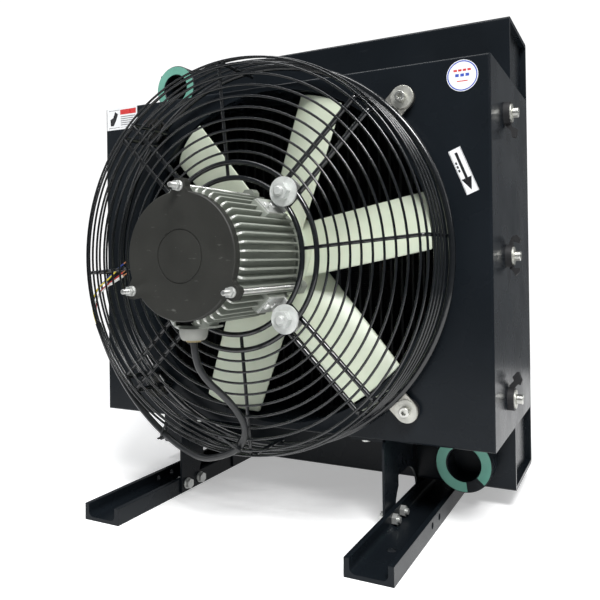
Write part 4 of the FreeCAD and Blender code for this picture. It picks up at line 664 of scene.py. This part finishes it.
def guard_welds():
    """A lump of molten metal where each front ring meets a wire or a rod."""
    points, faces = [], []
    rings = [(radius, HUB_LUMP) for radius in HUB_RINGS]
    rings += [(FIRST_RING + index * RING_PITCH, RING_LUMP) for index in range(RING_COUNT)]
    for radius, size in rings:
        aside = math.degrees(math.asin(ROD_SPREAD / radius))
        angles = [quarter * 90 + WIRE_TURN for quarter in range(4)]
        angles += [45 + quarter * 90 + side * aside for quarter in range(4) for side in (-1, 1)]
        for angle in angles:
            weld_lump(points, faces, around(angle, radius, RING_BACK), size)
    add_piece("guard_weld_lumps", mesh_from("guard_weld_lumps", points, faces), "guard_black")


guard_welds()


# ---------------------------------------------------------------- painted shadows of the bolts at the right-hand mounts

MOUNT_X, MOUNT_Y, SHADOW_PRISM_WIDTH = 0.3, 0.094, 0.007
# The mounts' heights from the fan's axis, and the painted shadows' outlines in millimetres, out from the shroud
# and up.
PAINTED_SHADOW_OUTLINES = {
    -0.190: [[(1, 13), (6, 13), (12, 20), (15, 19), (17, 25), (13, 35), (10, 35), (5, 29), (7, 24), (1, 18)]],
    -0.004: [[(3, 13), (7, 13), (9, 19), (16, 16), (18, 21), (13, 27), (8, 26), (4, 19)],
             [(3, -13), (4, -17), (8, -20), (11, -26), (16, -21), (17, -15), (10, -16), (6, -13)]],
    0.182: [[(1, -13), (1, -17), (8, -24), (9, -32), (14, -33), (16, -22), (10, -19), (7, -13)]],
}


def painted_bolt_shadows():
    """Short black prisms at the rubber spacers: painted shadows of the bolts, built as solid pieces."""
    points, faces = [], []
    for height, outlines in PAINTED_SHADOW_OUTLINES.items():
        for outline in outlines:
            start, count = len(points), len(outline)
            for y in (MOUNT_Y - SHADOW_PRISM_WIDTH / 2, MOUNT_Y + SHADOW_PRISM_WIDTH / 2):
                points += [at(MOUNT_X + out * MM, y, height + up * MM) for out, up in outline]
            faces.append(tuple(range(start, start + count)))
            faces.append(tuple(range(start + 2 * count - 1, start + count - 1, -1)))
            faces += [(start + step, start + count + step, start + count + (step + 1) % count,
                       start + (step + 1) % count) for step in range(count)]
    # Painted shadow: black prisms where the bolts' shadows fall.
    add_piece("painted_bolt_shadows", mesh_from("painted_bolt_shadows", points, faces, smooth=False), "black_rubber")


painted_bolt_shadows()


# ---------------------------------------------------------------- stage and lights

FLOOR_RADIUS, FLOOR_SIDES, FLOOR_GLOW = 1.25, 72, 0.38
SKY_STRENGTH, SURROUND_STRENGTH = 0.22, 1.1


def make_floor():
    """A pale round floor, a little self-lit so that its far side stays as white as the surround."""
    turns = [2 * math.pi * step / FLOOR_SIDES for step in range(FLOOR_SIDES)]
    rim = [(FLOOR_RADIUS * math.cos(turn), FLOOR_RADIUS * math.sin(turn), 0) for turn in turns]
    data = mesh_from("floor", rim, [tuple(range(FLOOR_SIDES))], smooth=False)
    look = Look("floor_white", (0.86, 0.86, 0.86), 0.8, emission_strength=FLOOR_GLOW)
    look.shader.inputs["Emission Color"].default_value = (1, 1, 1, 1)
    look.tint(look.span(look.noise(1.5, 2), 0.3, 0.7, 0.0, 1.0), (0.84, 0.84, 0.84))
    data.materials.append(look.material)
    floor = bpy.data.objects.new("floor", data)
    bpy.context.scene.collection.objects.link(floor)


def softbox(name, place, target, width, height, power):
    """A rectangular studio light at a place, facing a target."""
    data = bpy.data.lights.new(name, "AREA")
    data.shape = "RECTANGLE"
    data.size, data.size_y = width, height
    data.energy = power
    light = bpy.data.objects.new(name, data)
    light.location = place
    light.rotation_mode = "QUATERNION"
    light.rotation_quaternion = (Vector(target) - Vector(place)).to_track_quat("-Z", "Y")
    bpy.context.scene.collection.objects.link(light)


def make_world():
    """A white surround to look at, which lights the object only dimly."""
    world = bpy.data.worlds.new("studio")
    world.use_nodes = True
    tree = world.node_tree
    sky = tree.nodes["Background"]
    sky.inputs["Color"].default_value = (0.92, 0.96, 1.0, 1)
    sky.inputs["Strength"].default_value = SKY_STRENGTH
    white = tree.nodes.new("ShaderNodeBackground")
    white.inputs["Color"].default_value = (1, 1, 1, 1)
    white.inputs["Strength"].default_value = SURROUND_STRENGTH
    rays = tree.nodes.new("ShaderNodeLightPath")
    seen = tree.nodes.new("ShaderNodeMixShader")
    tree.links.new(rays.outputs["Is Camera Ray"], seen.inputs[0])
    tree.links.new(sky.outputs[0], seen.inputs[1])
    tree.links.new(white.outputs[0], seen.inputs[2])
    tree.links.new(seen.outputs[0], tree.nodes["World Output"].inputs["Surface"])
    bpy.context.scene.world = world


make_floor()
make_world()
softbox("key_light", (1.2, -1.7, 2.4), (0, 0, 0.35), 1.0, 0.8, 98)
softbox("top_light", (-0.2, -0.4, 2.7), (0, 0, 0.4), 2.0, 0.5, 38)
softbox("left_light", (-2.3, -1.5, 1.5), (0, 0, 0.35), 0.16, 1.6, 9)
softbox("side_light", (2.4, -0.2, 1.7), (0.2, 0, 0.35), 0.3, 1.6, 9)
bpy.context.scene.view_settings.view_transform = "Standard"
